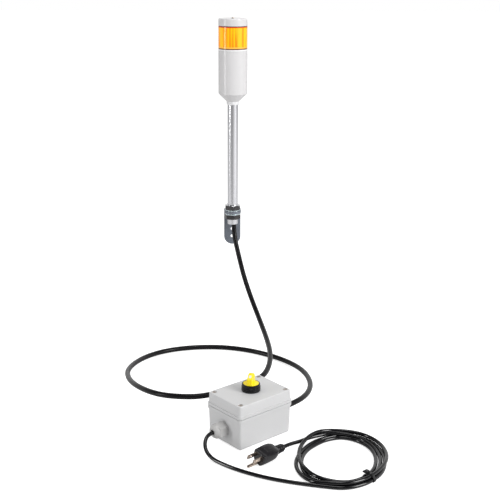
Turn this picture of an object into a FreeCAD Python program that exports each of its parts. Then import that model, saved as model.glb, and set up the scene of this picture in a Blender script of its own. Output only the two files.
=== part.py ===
"""Single-tier stack light on a pole, with its selector box, cords and mains plug.

Frame: millimetres, +Z up, +X to the right, +Y towards the wall that the L-bracket is fixed to.
The origin is on the bracket's back face, midway between its two mounting holes.  The box, the
cords and the plug lie on a surface that is mount_height below the origin.
"""
import FreeCAD, Part
import math
import os
import re

import Sketcher
from FreeCAD import Vector

# Driving dimensions, in millimetres and degrees.
SIZES = {
    # bracket and its mount
    "mount_height": 207.9,
    "hole_pitch": 15,
    "hole_rise": 16.2,
    "hole_diameter": 7,
    "bracket_drop": 74,
    "bracket_width": 32.4,
    "bracket_sheet": 4,
    "bend_radius": 2.5,
    "pole_setback": 24,
    # pole and its fastening
    "pole_diameter": 20,
    "pole_wall": 1.6,
    "pole_tail": 22.3,
    "pole_rise": 207.9,
    "pole_insert": 13,
    "nut_flats": 28,
    "nut_thickness": 9.4,
    "nut_chamfer": 1.5,
    "upper_nut_turn": 32,
    "lower_nut_turn": 40,
    "flat_washer_diameter": 29.6,
    "flat_washer_thickness": 1.2,
    "tooth_washer_diameter": 29,
    "tooth_washer_thickness": 1.4,
    "tooth_depth": 3,
    "tooth_gap": 2,
    "bore_play": 0.15,
    # light head
    "head_diameter": 54.4,
    "shell_wall": 2.4,
    "collar_diameter": 23.8,
    "collar_height": 6.4,
    "collar_chamfer": 0.8,
    "cone_height": 14.4,
    "band_height": 10.2,
    "spigot_height": 6,
    "body_height": 70.9,
    "seal_height": 2.3,
    "lens_height": 41.6,
    "lens_wall": 2.6,
    "flute_depth": 1.1,
    "flute_width": 3,
    "gasket_height": 1.1,
    "gasket_inset": 0.4,
    "cap_height": 13.5,
    "cap_round": 2.2,
    "tie_screw_diameter": 4,
    "tie_head_diameter": 5.2,
    "tie_head_height": 1.9,
    "tie_grip": 12,
    "board_thickness": 1.6,
    "led_post_radius": 13,
    "led_post_wall": 1.6,
    "led_post_height": 36,
    "led_size": 5,
    "led_height": 1.6,
    "led_pitch": 8,
    # selector box
    "box_x": 13.9,
    "box_y": -465.8,
    "box_yaw": 38,
    "box_length": 110.6,
    "box_width": 81.8,
    "box_height": 74,
    "seam_height": 52.2,
    "box_wall": 2.6,
    "box_corner": 5,
    "lip_height": 4.9,
    "lip_inset": 1.6,
    "foot_inset": 2.8,
    "foot_round": 2.5,
    "rim_height": 4.4,
    "rim_inset": 1.5,
    "lid_inset": 2.1,
    "lid_round": 1.2,
    "lid_gasket_thickness": 0.7,
    "lid_gasket_width": 2.6,
    "lid_gasket_inset": 1,
    "screw_inset_x": 8.7,
    "screw_inset_y": 8.7,
    "screw_diameter": 3.5,
    "screw_head_diameter": 6.6,
    "screw_head_height": 2.2,
    "screw_length": 30,
    "screw_slot": 1,
    "screw_recess": 2.6,
    "post_diameter": 9,
    # selector switch
    "selector_shift": 2.4,
    "barrel_diameter": 22,
    "barrel_length": 13,
    "bezel_diameter": 30.4,
    "bezel_height": 11.6,
    "bezel_waist": 0.7,
    "selector_seal_thickness": 0.8,
    "selector_seal_diameter": 29,
    "ring_nut_diameter": 28,
    "ring_nut_thickness": 4,
    "knob_diameter": 25.1,
    "knob_disc": 2.6,
    "knob_play": 0.3,
    "knob_shaft_diameter": 10,
    "shaft_play": 0.08,
    "grip_turn": 216,
    "grip_width": 8.6,
    "grip_height": 15.4,
    "grip_front_height": 10.2,
    "grip_round": 1.3,
    "pointer_width": 4,
    "pointer_length": 5.4,
    "pointer_depth": 0.8,
    "contact_length": 26,
    "contact_width": 20,
    "contact_height": 17,
    "contact_neck": 3,
    "contact_screw_diameter": 4,
    "strip_length": 40,
    "strip_width": 16,
    "strip_height": 13,
    "strip_poles": 4,
    # cable glands
    "gland_rise": 25,
    "light_gland_rise": 23,
    "gland_hex_thickness": 3.2,
    "gland_nut_length": 13.6,
    "gland_dome_length": 6.4,
    "gland_wall": 2,
    "gland_stub": 9,
    "lock_nut_thickness": 3.6,
    "mains_gland_flats": 23.2,
    "mains_thread_diameter": 16,
    "light_gland_flats": 24,
    "light_thread_diameter": 20,
    # cords
    "light_cord_diameter": 9.1,
    "mains_cord_diameter": 6,
    "cord_start": 25,
    "pole_cord_play": 0.3,
    "pole_cord_angle": -54,
    "cord_grip": 18,
    # coil of the mains cord
    "coil_x": 146.6,
    "coil_y": -567,
    "coil_length": 176,
    "coil_breadth": 142.4,
    "coil_turn": -19,
    "coil_band": 17.4,
    "coil_thickness": 11.4,
    "coil_round": 3,
    "tie_angle": 309,
    "tie_width": 5,
    "tie_strap": 1.2,
    "tie_play": 0.3,
    # mains plug
    "plug_x": 20.6,
    "plug_y": -573,
    "plug_yaw": 40,
    "plug_roll": 13,
    "plug_face_width": 24,
    "plug_middle_width": 24.6,
    "plug_back_width": 17.5,
    "plug_body_length": 34.8,
    "plug_height": 21,
    "plug_back_height": 18,
    "plug_back_rise": 2.5,
    "plug_foot_width": 10,
    "plug_neck_diameter": 12.4,
    "plug_neck_length": 17.2,
    "plug_neck_rise": 12.4,
    "plug_rib_width": 1.7,
    "plug_rib_depth": 1.1,
    "blade_spacing": 12.7,
    "blade_length": 17.8,
    "blade_width": 6.3,
    "blade_thickness": 1.5,
    "blade_hole": 3.2,
    "blade_rise": 16,
    "pin_drop": 11.9,
    "pin_diameter": 4.8,
    "pin_length": 21.4,
}

# Levels and widths that follow from the sizes.
PLACES = {
    "flange_top": "bracket_drop - hole_rise - hole_pitch / 2",
    "flange_under": "flange_top - bracket_sheet",
    "pole_end": "flange_under - pole_tail",
    "pole_radius": "pole_diameter / 2",
    "pole_bore": "pole_radius - pole_wall",
    "bore_radius": "pole_radius + bore_play",
    "collar_foot": "flange_top + pole_rise",
    "collar_radius": "collar_diameter / 2",
    "cone_foot": "collar_foot + collar_height",
    "pole_top": "cone_foot + pole_insert",
    "cone_top": "cone_foot + cone_height",
    "body_foot": "cone_top + band_height",
    "board_foot": "body_foot + spigot_height",
    "body_top": "body_foot + body_height",
    "lens_foot": "body_top + seal_height",
    "lens_top": "lens_foot + lens_height",
    "cap_foot": "lens_top + gasket_height",
    "cap_top": "cap_foot + cap_height",
    "head_radius": "head_diameter / 2",
    "head_bore": "head_radius - shell_wall",
    "lens_bore": "head_radius - lens_wall",
    "tie_radius": "tie_screw_diameter / 2",
    "tie_hole": "tie_radius + bore_play",
    "lid_foot": "seam_height + lid_gasket_thickness",
    "rim_top": "lid_foot + rim_height",
    "lip_foot": "seam_height - lip_height",
    "head_seat": "box_height - screw_recess",
    "bezel_foot": "box_height + selector_seal_thickness",
    "bezel_top": "bezel_foot + bezel_height",
    "bezel_radius": "bezel_diameter / 2",
    "barrel_radius": "barrel_diameter / 2",
    "barrel_foot": "box_height - barrel_length",
    "knob_seat": "bezel_top - knob_disc",
    "shaft_radius": "knob_shaft_diameter / 2",
    "gland_seat": "box_length / 2 - foot_inset + (foot_inset - lip_inset) * gland_rise / lip_foot",
    "gland_reach": "gland_seat + gland_hex_thickness + gland_nut_length + gland_dome_length",
    "light_cord_radius": "light_cord_diameter / 2",
    "mains_cord_radius": "mains_cord_diameter / 2",
    "pole_cord_reach": "pole_bore - light_cord_radius - pole_cord_play",
    "pole_cord_x": "pole_cord_reach * cos(pole_cord_angle)",
    "pole_cord_y": "pole_cord_reach * sin(pole_cord_angle)",
    "gland_wall_inside": "box_length / 2 - foot_inset - box_wall - gland_seat",
    "plug_length": "plug_body_length + plug_neck_length",
    "plug_lift": "plug_foot_width / 2 * sin(plug_roll)",
    "coil_foot": "tie_strap + tie_play - mount_height",
}

# Frames that the assemblies are built in.
LIGHT = "placement(vector(0; -pole_setback; 0); rotation(vector(0; 0; 1); 0))"
BOX = "placement(vector(box_x; box_y; -mount_height); rotation(vector(0; 0; 1); box_yaw))"
SELECTOR = BOX + " * placement(vector(selector_shift; 0; 0); rotation(vector(0; 0; 1); 0))"
MAINS_GLAND = BOX + " * placement(vector(-gland_seat; 0; gland_rise); rotation(vector(0; 1; 0); -90))"
LIGHT_GLAND = BOX + (" * placement(vector(gland_seat; 0; light_gland_rise);"
                     " rotation(vector(0; 1; 0); 90))")
COIL = "placement(vector(coil_x; coil_y; coil_foot); rotation(vector(0; 0; 1); 90 + coil_turn))"
PLUG = ("placement(vector(plug_x; plug_y; plug_lift - mount_height);"
        " rotation(vector(0; 0; 1); plug_yaw)) *"
        " placement(vector(0; 0; 0); rotation(vector(1; 0; 0); plug_roll))")

FLUTES = 40
WASHER_TEETH = 16
LED_SIDES = 6
LED_ROWS = 4
PLUG_RIBS = 4

doc = FreeCAD.newDocument("StackLight")
sheet = doc.addObject("Spreadsheet::Sheet", "Sizes")
for row, (alias, value) in enumerate(SIZES.items(), start=1):
    sheet.set("A%d" % row, alias)
    sheet.set("B%d" % row, str(value))
    sheet.setAlias("B%d" % row, alias)
doc.recompute()

nodes = []


# ---------------------------------------------------------------- helpers

def cells(expression):
    """The expression with every named place and size written as cells of the sheet."""
    def replace(match):
        word = match.group(0)
        if word in PLACES:
            return "(" + cells(PLACES[word]) + ")"
        if word in SIZES:
            return "Sizes." + word
        return word
    return re.sub(r"[a-z][a-z0-9_]*", replace, str(expression))


def number(expression):
    """The value of an expression at the present sizes."""
    return float(sheet.evalExpression(cells(expression)))


def bind(item, **properties):
    """Tie properties of an object to expressions on the sheet."""
    for name, expression in properties.items():
        item.setExpression(name, cells(expression))
    return item


def node(item, label, frame=None):
    """Name a finished sub-part and put it in its frame."""
    item.Label = label
    if frame:
        item.setExpression("Placement", cells(frame))
    nodes.append(item)
    return item


def new(kind, name, **properties):
    """A Part object of the document with its sizes tied to the sheet."""
    return bind(doc.addObject(kind, name), **properties)


def at(item, x="0", y="0", z="0"):
    """Tie a Part object's position to the sheet."""
    for axis, expression in zip("xyz", (x, y, z)):
        item.setExpression("Placement.Base." + axis, cells(expression))
    return item


def sketch_on(body, role, name, lift="0"):
    """A sketch on one of the body's own origin planes, moved along its normal."""
    sketch = body.newObject("Sketcher::SketchObject", name)
    plane = [item for item in body.Origin.OriginFeatures if item.Role == role][0]
    sketch.AttachmentSupport = (plane, [""])
    sketch.MapMode = "FlatFace"
    sketch.setExpression("AttachmentOffset.Base.z", cells(lift))
    return sketch


def fix_point(sketch, geometry, position, x, y):
    """Hold a point of the sketch at the expressions x and y."""
    for kind, expression in (("DistanceX", x), ("DistanceY", y)):
        constraint = Sketcher.Constraint(kind, -1, 1, geometry, position, number(expression))
        index = sketch.addConstraint(constraint)
        sketch.setExpression("Constraints[%d]" % index, cells(expression))


def outline(sketch, points):
    """A closed outline of straight lines through points given as expressions."""
    first = sketch.GeometryCount
    corners = [Vector(number(x), number(y), 0) for x, y in points]
    count = len(corners)
    for i in range(count):
        sketch.addGeometry(Part.LineSegment(corners[i], corners[(i + 1) % count]), False)
    for i in range(count):
        following = first + (i + 1) % count
        sketch.addConstraint(Sketcher.Constraint("Coincident", first + i, 2, following, 1))
    for i, (x, y) in enumerate(points):
        fix_point(sketch, first + i, 1, x, y)


def rectangle(sketch, length, width):
    """A rectangle centred on the sketch's origin."""
    x = "(%s) / 2" % length
    y = "(%s) / 2" % width
    outline(sketch, [("-" + x, "-" + y), (x, "-" + y), (x, y), ("-" + x, y)])


def circle(sketch, radius, x="0", y="0"):
    """A circle at the expressions x and y."""
    centre = Vector(number(x), number(y), 0)
    index = sketch.addGeometry(Part.Circle(centre, Vector(0, 0, 1), number(radius)), False)
    constraint = sketch.addConstraint(Sketcher.Constraint("Radius", index, number(radius)))
    sketch.setExpression("Constraints[%d]" % constraint, cells(radius))
    fix_point(sketch, index, 3, x, y)


def turned(name, profile):
    """A body turned about its Z axis from (radius, height) corners."""
    body = doc.addObject("PartDesign::Body", name)
    sketch = sketch_on(body, "XZ_Plane", name + "_profile")
    outline(sketch, profile)
    feature = body.newObject("PartDesign::Revolution", name + "_turning")
    feature.Profile = sketch
    feature.ReferenceAxis = (sketch, ["V_Axis"])
    feature.Angle = 360
    doc.recompute()
    return body


def ring(name, inner, outer, foot, top):
    """A plain ring turned about the Z axis."""
    return turned(name, [(inner, foot), (outer, foot), (outer, top), (inner, top)])


def pad(body, sketch, length, name, taper=None):
    """Add material along the sketch's normal."""
    feature = body.newObject("PartDesign::Pad", name)
    feature.Profile = sketch
    bind(feature, Length=length)
    if taper:
        bind(feature, TaperAngle=taper)
    doc.recompute()
    return feature


def pocket(body, sketch, length, name, upwards=False, midplane=False):
    """Cut material against the sketch's normal, along it, or both ways."""
    feature = body.newObject("PartDesign::Pocket", name)
    feature.Profile = sketch
    feature.Reversed = upwards
    if midplane:
        feature.Midplane = True
    bind(feature, Length=length)
    doc.recompute()
    return feature


def fillet(body, radius, name, wanted):
    """Round the edges of the body for which wanted(edge) is true."""
    tip = body.Tip
    names = [
        "Edge%d" % number_of
        for number_of, edge in enumerate(tip.Shape.Edges, start=1)
        if wanted(edge)
    ]
    feature = body.newObject("PartDesign::Fillet", name)
    feature.Base = (tip, names)
    bind(feature, Radius=radius)
    doc.recompute()
    return feature


def polar(body, original, count, name):
    """Repeat a feature around the body's Z axis."""
    feature = body.newObject("PartDesign::PolarPattern", name)
    feature.Originals = [original]
    axis = [item for item in body.Origin.OriginFeatures if item.Role == "Z_Axis"][0]
    feature.Axis = (axis, [""])
    feature.Angle = 360
    feature.Occurrences = count
    body.Tip = feature
    doc.recompute()
    return feature


def cut(name, base, *tools):
    """The base with every tool cut out of it."""
    tool = tools[0]
    if len(tools) > 1:
        tool = doc.addObject("Part::MultiFuse", name + "_tools")
        tool.Shapes = list(tools)
    item = doc.addObject("Part::Cut", name)
    item.Base = base
    item.Tool = tool
    return item


def fuse(name, *shapes):
    """Several shapes joined into one."""
    item = doc.addObject("Part::MultiFuse", name)
    item.Shapes = list(shapes)
    return item


def group(name, *shapes):
    """Several separate solids kept in one sub-part."""
    item = doc.addObject("Part::Compound", name)
    item.Links = list(shapes)
    return item


def cylinder(name, radius, height, x="0", y="0", z="0"):
    """An upright cylinder that starts at the expressions x, y and z."""
    return at(new("Part::Cylinder", name, Radius=radius, Height=height), x, y, z)


def block(name, length, width, height, x="0", y="0", z="0"):
    """A box centred on x and y that stands on z."""
    item = new("Part::Box", name, Length=length, Width=width, Height=height)
    return at(item, "%s - (%s) / 2" % (x, length), "%s - (%s) / 2" % (y, width), z)


def is_upright(edge):
    """True for an edge that runs mostly along Z."""
    if len(edge.Vertexes) != 2:
        return False
    return abs(edge.Vertexes[1].Z - edge.Vertexes[0].Z) > 0.9 * edge.Length


def hexagon_nut(name, flats, thickness, bore, chamfer):
    """A hexagon nut standing on Z = 0, with both ends chamfered."""
    corner = "(%s) / 2 / cos(30)" % flats
    edge = "(%s) / 2 - 0.3" % flats
    prism = new("Part::Prism", name + "_prism", Circumradius=corner, Height=thickness)
    prism.Polygon = 6
    top = "%s - (%s)" % (thickness, chamfer)
    blank = turned(name + "_blank", [
        (bore, "0"), (edge, "0"), (corner, chamfer), (corner, top), (edge, thickness),
        (bore, thickness),
    ])
    item = doc.addObject("Part::Common", name)
    item.Base = prism
    item.Tool = blank
    return item


# ---------------------------------------------------------------- bracket and pole fastening

def build_bracket():
    """Bent strip: a short flange that carries the pole and a plate that goes on the wall."""
    body = doc.addObject("PartDesign::Body", "LBracket")
    side = sketch_on(body, "YZ_Plane", "bracket_side", "-bracket_width / 2")
    front = "-(pole_setback + bracket_width / 2)"
    outline(side, [
        ("0", "flange_top"), (front, "flange_top"), (front, "flange_under"),
        ("-bracket_sheet", "flange_under"), ("-bracket_sheet", "flange_top - bracket_drop"),
        ("0", "flange_top - bracket_drop"),
    ])
    pad(body, side, "bracket_width", "bracket_strip")
    depth = number("bracket_sheet")
    level = number("flange_under")

    def inner_bend(edge):
        point = edge.CenterOfMass
        return abs(point.y + depth) < 0.01 and abs(point.z - level) < 0.01

    def outer_bend(edge):
        point = edge.CenterOfMass
        return abs(point.y) < 0.01 and abs(point.z - number("flange_top")) < 0.01

    def plate_end(edge):
        point = edge.CenterOfMass
        on_side = abs(abs(point.x) - number("bracket_width / 2")) < 0.01
        return on_side and abs(point.z - number("flange_top - bracket_drop")) < 0.01

    def flange_end(edge):
        point = edge.CenterOfMass
        on_side = abs(abs(point.x) - number("bracket_width / 2")) < 0.01
        return on_side and abs(point.y - number(front)) < 0.01

    fillet(body, "bend_radius", "inner_bend", inner_bend)
    fillet(body, "bend_radius + bracket_sheet", "outer_bend", outer_bend)
    fillet(body, "bracket_width / 2 - 0.05", "plate_end", plate_end)
    fillet(body, "bracket_width / 2 - 0.05", "flange_end", flange_end)
    bore = sketch_on(body, "XY_Plane", "pole_bore_sketch", "flange_top")
    circle(bore, "bore_radius + bore_play", "0", "-pole_setback")
    pocket(body, bore, "bracket_sheet * 2", "pole_bore_cut")
    holes = sketch_on(body, "XZ_Plane", "mount_holes_sketch")
    circle(holes, "hole_diameter / 2", "0", "hole_pitch / 2")
    circle(holes, "hole_diameter / 2", "0", "-hole_pitch / 2")
    pocket(body, holes, "bracket_sheet * 3", "mount_holes", midplane=True)
    node(body, "l_bracket")


def build_tooth_washer(name, label, foot):
    """Lock washer with a ring of outward teeth."""
    body = doc.addObject("PartDesign::Body", name)
    plan = sketch_on(body, "XY_Plane", name + "_plan", foot)
    circle(plan, "tooth_washer_diameter / 2")
    circle(plan, "bore_radius + bore_play")
    pad(body, plan, "tooth_washer_thickness", name + "_disc")
    gap = sketch_on(body, "XY_Plane", name + "_gap", foot)
    inner = "tooth_washer_diameter / 2 - tooth_depth"
    outer = "tooth_washer_diameter / 2 + 1"
    outline(gap, [
        (inner, "-tooth_gap / 2"), (outer, "-tooth_gap"), (outer, "tooth_gap"),
        (inner, "tooth_gap / 2"),
    ])
    notch = pocket(body, gap, "tooth_washer_thickness", name + "_notch", upwards=True)
    polar(body, notch, WASHER_TEETH, name + "_notches")
    node(body, label, LIGHT)


def build_pole_fastening():
    """Tube, two nuts, two flat washers and two toothed washers."""
    node(ring("Pole", "pole_bore", "pole_radius", "pole_end", "pole_top"), "pole", LIGHT)
    upper_flat = "flange_top + tooth_washer_thickness"
    lower_flat = "flange_under - tooth_washer_thickness - flat_washer_thickness"
    build_tooth_washer("UpperToothWasher", "upper_tooth_washer", "flange_top")
    build_tooth_washer(
        "LowerToothWasher", "lower_tooth_washer", "flange_under - tooth_washer_thickness")
    for name, label, foot in (
            ("UpperFlatWasher", "upper_flat_washer", upper_flat),
            ("LowerFlatWasher", "lower_flat_washer", lower_flat)):
        top = foot + " + flat_washer_thickness"
        washer = ring(name, "bore_radius", "flat_washer_diameter / 2", foot, top)
        node(washer, label, LIGHT)
    for name, label, foot, turn in (
            ("UpperNut", "upper_nut", upper_flat + " + flat_washer_thickness", "upper_nut_turn"),
            ("LowerNut", "lower_nut", lower_flat + " - nut_thickness", "lower_nut_turn")):
        nut = hexagon_nut(name, "nut_flats", "nut_thickness", "bore_radius", "nut_chamfer")
        turn_about_pole = " * placement(vector(0; 0; %s); rotation(vector(0; 0; 1); %s))"
        node(nut, label, LIGHT + turn_about_pole % (foot, turn))


# ---------------------------------------------------------------- light head

def build_head_shells():
    """Collar, base cone, body, seals, lens and cap."""
    node(turned("PoleCollar", [
        ("bore_radius", "collar_foot"), ("collar_radius - collar_chamfer", "collar_foot"),
        ("collar_radius", "collar_foot + collar_chamfer"), ("collar_radius", "cone_foot"),
        ("bore_radius", "cone_foot"),
    ]), "pole_collar", LIGHT)
    spigot = "head_bore - bore_play"
    node(turned("BaseCone", [
        ("bore_radius", "cone_foot"), ("collar_radius + 0.3", "cone_foot"),
        ("head_radius", "cone_top"), ("head_radius", "body_foot"), (spigot, "body_foot"),
        (spigot, "board_foot"), (spigot + " - shell_wall", "board_foot"),
        (spigot + " - shell_wall", "cone_top + 1"),
        ("bore_radius + shell_wall", "cone_foot + shell_wall * 2"),
        ("bore_radius + shell_wall", "pole_top + 1"), ("pole_bore", "pole_top + 1"),
        ("pole_bore", "pole_top"), ("bore_radius", "pole_top"),
    ]), "base_cone", LIGHT)
    node(turned("BodyHousing", [
        ("head_bore", "body_foot"), ("head_radius", "body_foot"), ("head_radius", "body_top"),
        ("tie_radius", "body_top"), ("tie_radius", "body_top - tie_grip"),
        ("tie_radius * 2.4", "body_top - tie_grip"), ("tie_radius * 2.4", "body_top - shell_wall"),
        ("head_bore", "body_top - shell_wall"),
    ]), "body_housing", LIGHT)
    node(turned("LensSeal", [
        ("lens_bore - 1.5", "body_top"), ("head_radius", "body_top"),
        ("head_radius", "lens_foot"), ("lens_bore - 1.5", "lens_foot"),
    ]), "lens_seal", LIGHT)
    node(ring("CapGasket", "lens_bore", "head_radius - gasket_inset", "lens_top", "cap_foot"),
         "cap_gasket", LIGHT)
    cap = turned("Cap", [
        ("head_bore", "cap_foot"), ("head_radius", "cap_foot"), ("head_radius", "cap_top"),
        ("tie_hole", "cap_top"), ("tie_hole", "cap_top - shell_wall"),
        ("head_bore", "cap_top - shell_wall"),
    ])
    rim = number("head_radius")
    crown = number("cap_top")

    def crown_edge(edge):
        point = edge.Vertexes[0].Point
        radius = math.hypot(point.x, point.y)
        return abs(point.z - crown) < 0.01 and abs(radius - rim) < 0.01 and edge.Closed

    fillet(cap, "cap_round", "cap_crown", crown_edge)
    node(cap, "cap", LIGHT)


def build_lens():
    """Clear amber tube, fluted on the inside."""
    body = ring("Lens", "lens_bore", "head_radius", "lens_foot", "lens_top")
    flute = sketch_on(body, "XY_Plane", "lens_flute", "lens_foot + flute_width")
    outline(flute, [
        ("lens_bore - 1", "-flute_width / 2"), ("lens_bore", "-flute_width / 2"),
        ("lens_bore + flute_depth", "0"), ("lens_bore", "flute_width / 2"),
        ("lens_bore - 1", "flute_width / 2"),
    ])
    groove = pocket(body, flute, "lens_height - flute_width * 2", "lens_groove", upwards=True)
    polar(body, groove, FLUTES, "lens_flutes")
    node(body, "lens", LIGHT)


def build_head_inside():
    """Boards, light-emitting diodes and the screw that holds the cap and lens down."""
    board = ring(
        "DriverBoard", "light_cord_diameter", "head_bore - 1", "board_foot",
        "board_foot + board_thickness")
    node(board, "driver_board", LIGHT)
    foot_disc = ring(
        "led_disc", "tie_hole", "lens_bore - 2", "lens_foot", "lens_foot + board_thickness")
    post_foot = "lens_foot + board_thickness"
    outer = new("Part::Prism", "led_outer", Circumradius="led_post_radius",
                Height="led_post_height")
    inner = new("Part::Prism", "led_inner", Circumradius="led_post_radius - led_post_wall * 1.2",
                Height="led_post_height")
    for prism in (outer, inner):
        prism.Polygon = LED_SIDES
        at(prism, z=post_foot)
    post = cut("led_post_tube", outer, inner)
    node(fuse("LedBoard", foot_disc, post), "led_board", LIGHT)
    chips = []
    reach = "led_post_radius * cos(180 / %d)" % LED_SIDES
    for side in range(LED_SIDES):
        for level in range(LED_ROWS):
            chip = new("Part::Box", "chip_%d_%d" % (side, level),
                       Length="led_height", Width="led_size", Height="led_size")
            rise = post_foot + " + led_pitch * %d + led_size / 2" % level
            angle = "%g" % (360.0 / LED_SIDES * (side + 0.5))
            turn = "placement(vector(0; 0; 0); rotation(vector(0; 0; 1); %s))" % angle
            push = " * placement(vector(%s; -led_size / 2; %s); rotation(vector(0; 0; 1); 0))"
            chip.setExpression("Placement", cells(turn + push % (reach, rise)))
            chips.append(chip)
    node(group("LedChips", *chips), "led_chips", LIGHT)
    node(turned("TieScrew", [
        ("0", "body_top - tie_grip"), ("tie_radius", "body_top - tie_grip"),
        ("tie_radius", "cap_top"), ("tie_head_diameter / 2", "cap_top"),
        ("tie_head_diameter / 2 - 0.6", "cap_top + tie_head_height"),
        ("0", "cap_top + tie_head_height"),
    ]), "tie_screw", LIGHT)
    riser = "board_foot - pole_end - cord_start"
    cord = cylinder("PoleCord", "light_cord_radius", riser, "pole_cord_x", "pole_cord_y",
                    "pole_end + cord_start")
    node(group("PoleCordGroup", cord), "pole_cord", LIGHT)


# ---------------------------------------------------------------- selector box

def corners():
    """Signs of the four corners of the box."""
    return [(x, y) for x in (-1, 1) for y in (-1, 1)]


def corner_place(x, y):
    """Expressions of a lid screw's place."""
    return ("%d * (box_length / 2 - screw_inset_x)" % x,
            "%d * (box_width / 2 - screw_inset_y)" % y)


def build_box_base():
    """Moulded tray with draft, a lip round its mouth and a post under each lid screw."""
    body = doc.addObject("PartDesign::Body", "BoxTray")
    plan = sketch_on(body, "XY_Plane", "tray_foot")
    rectangle(plan, "box_length - foot_inset * 2", "box_width - foot_inset * 2")
    pad(body, plan, "lip_foot", "tray_walls", "atan((foot_inset - lip_inset) / lip_foot)")
    fillet(body, "box_corner - lip_inset", "tray_corners", is_upright)
    fillet(body, "foot_round", "tray_foot_round", lambda edge: edge.BoundBox.ZMax < 0.01)
    lip = sketch_on(body, "XY_Plane", "tray_lip_sketch", "lip_foot")
    rectangle(lip, "box_length", "box_width")
    pad(body, lip, "lip_height", "tray_lip")
    low = number("lip_foot")
    fillet(body, "box_corner", "lip_corners",
           lambda edge: is_upright(edge) and edge.BoundBox.ZMin > low - 0.01)
    mouth = sketch_on(body, "XY_Plane", "tray_mouth", "seam_height")
    inset = "(foot_inset + box_wall) * 2"
    rectangle(mouth, "box_length - " + inset, "box_width - " + inset)
    pocket(body, mouth, "seam_height - box_wall", "tray_hollow")
    posts = sketch_on(body, "XY_Plane", "tray_posts_sketch", "box_wall")
    for x, y in corners():
        circle(posts, "post_diameter / 2", *corner_place(x, y))
    pad(body, posts, "seam_height - box_wall", "tray_posts")
    holes = sketch_on(body, "XY_Plane", "tray_post_holes", "seam_height")
    for x, y in corners():
        circle(holes, "screw_diameter / 2", *corner_place(x, y))
    pocket(body, holes, "screw_length - head_seat + seam_height + screw_recess",
           "tray_pilot_holes")
    bores = []
    for name, thread, side, rise in (
            ("mains_way", "mains_thread_diameter", -1, "gland_rise"),
            ("light_way", "light_thread_diameter", 1, "light_gland_rise")):
        bore = new("Part::Cylinder", name, Radius=thread + " / 2 + bore_play", Height="box_wall * 5")
        bore.setExpression("Placement", cells(
            "placement(vector(%d * (gland_seat + box_wall); 0; %s);"
            " rotation(vector(0; 1; 0); %d))" % (side, rise, -90 * side)))
        seat = new("Part::Cylinder", name + "_seat", Radius="light_gland_flats / 2 / cos(30) + 0.5",
                   Height="box_wall")
        seat.setExpression("Placement", cells(
            "placement(vector(%d * gland_seat; 0; %s);"
            " rotation(vector(0; 1; 0); %d))" % (side, rise, 90 * side)))
        bores += [bore, seat]
    node(cut("BoxBase", body, *bores), "box_base", BOX)


def build_box_lid():
    """Moulded lid with draft, a rim, a hole for the switch and four screw recesses."""
    body = doc.addObject("PartDesign::Body", "BoxLid")
    wall = sketch_on(body, "XY_Plane", "lid_wall_sketch", "rim_top")
    rectangle(wall, "box_length - rim_inset * 2", "box_width - rim_inset * 2")
    slope = "-atan((lid_inset - rim_inset) / (box_height - rim_top))"
    pad(body, wall, "box_height - rim_top", "lid_walls", slope)
    crown = number("box_height")
    fillet(body, "box_corner - rim_inset", "lid_corners", is_upright)
    fillet(body, "lid_round", "lid_crown", lambda edge: edge.BoundBox.ZMin > crown - 0.01)
    rim = sketch_on(body, "XY_Plane", "lid_rim_sketch", "lid_foot")
    rectangle(rim, "box_length", "box_width")
    pad(body, rim, "rim_height", "lid_rim")
    level = number("rim_top")
    fillet(body, "box_corner", "rim_corners",
           lambda edge: is_upright(edge) and edge.BoundBox.ZMax < level + 0.01)
    hollow = sketch_on(body, "XY_Plane", "lid_hollow_sketch", "lid_foot")
    inset = "(lid_inset + box_wall) * 2"
    rectangle(hollow, "box_length - " + inset, "box_width - " + inset)
    pocket(body, hollow, "box_height - lid_foot - box_wall", "lid_hollow", upwards=True)
    posts = sketch_on(body, "XY_Plane", "lid_posts_sketch", "lid_foot")
    for x, y in corners():
        circle(posts, "post_diameter / 2", *corner_place(x, y))
    pad(body, posts, "box_height - lid_foot - box_wall", "lid_posts")
    recess = sketch_on(body, "XY_Plane", "lid_recess_sketch", "box_height")
    for x, y in corners():
        circle(recess, "screw_head_diameter / 2 + 0.6", *corner_place(x, y))
    pocket(body, recess, "screw_recess", "lid_recesses")
    holes = sketch_on(body, "XY_Plane", "lid_holes_sketch", "box_height")
    for x, y in corners():
        circle(holes, "screw_diameter / 2 + bore_play", *corner_place(x, y))
    circle(holes, "barrel_radius + bore_play", "selector_shift", "0")
    pocket(body, holes, "box_height", "lid_holes")
    node(body, "box_lid", BOX)


def build_lid_gasket():
    """Flat rubber frame between the tray and the lid."""
    body = doc.addObject("PartDesign::Body", "LidGasket")
    plan = sketch_on(body, "XY_Plane", "gasket_plan", "seam_height")
    outer = "lid_gasket_inset * 2"
    inner = "(lid_gasket_inset + lid_gasket_width) * 2"
    rectangle(plan, "box_length - " + outer, "box_width - " + outer)
    rectangle(plan, "box_length - " + inner, "box_width - " + inner)
    pad(body, plan, "lid_gasket_thickness", "gasket_frame")
    reach = number("box_length / 2 - lid_gasket_inset") - 0.01
    fillet(body, "box_corner - lid_gasket_inset", "gasket_corners",
           lambda edge: is_upright(edge) and abs(edge.CenterOfMass.x) > reach)
    fillet(body, "box_corner - lid_gasket_inset - lid_gasket_width", "gasket_inner_corners",
           is_upright_inside)
    node(body, "lid_gasket", BOX)


def is_upright_inside(edge):
    """True for the upright edges of the gasket's inner outline."""
    reach = number("box_length / 2 - lid_gasket_inset - lid_gasket_width")
    return is_upright(edge) and abs(abs(edge.CenterOfMass.x) - reach) < 0.01


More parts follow.
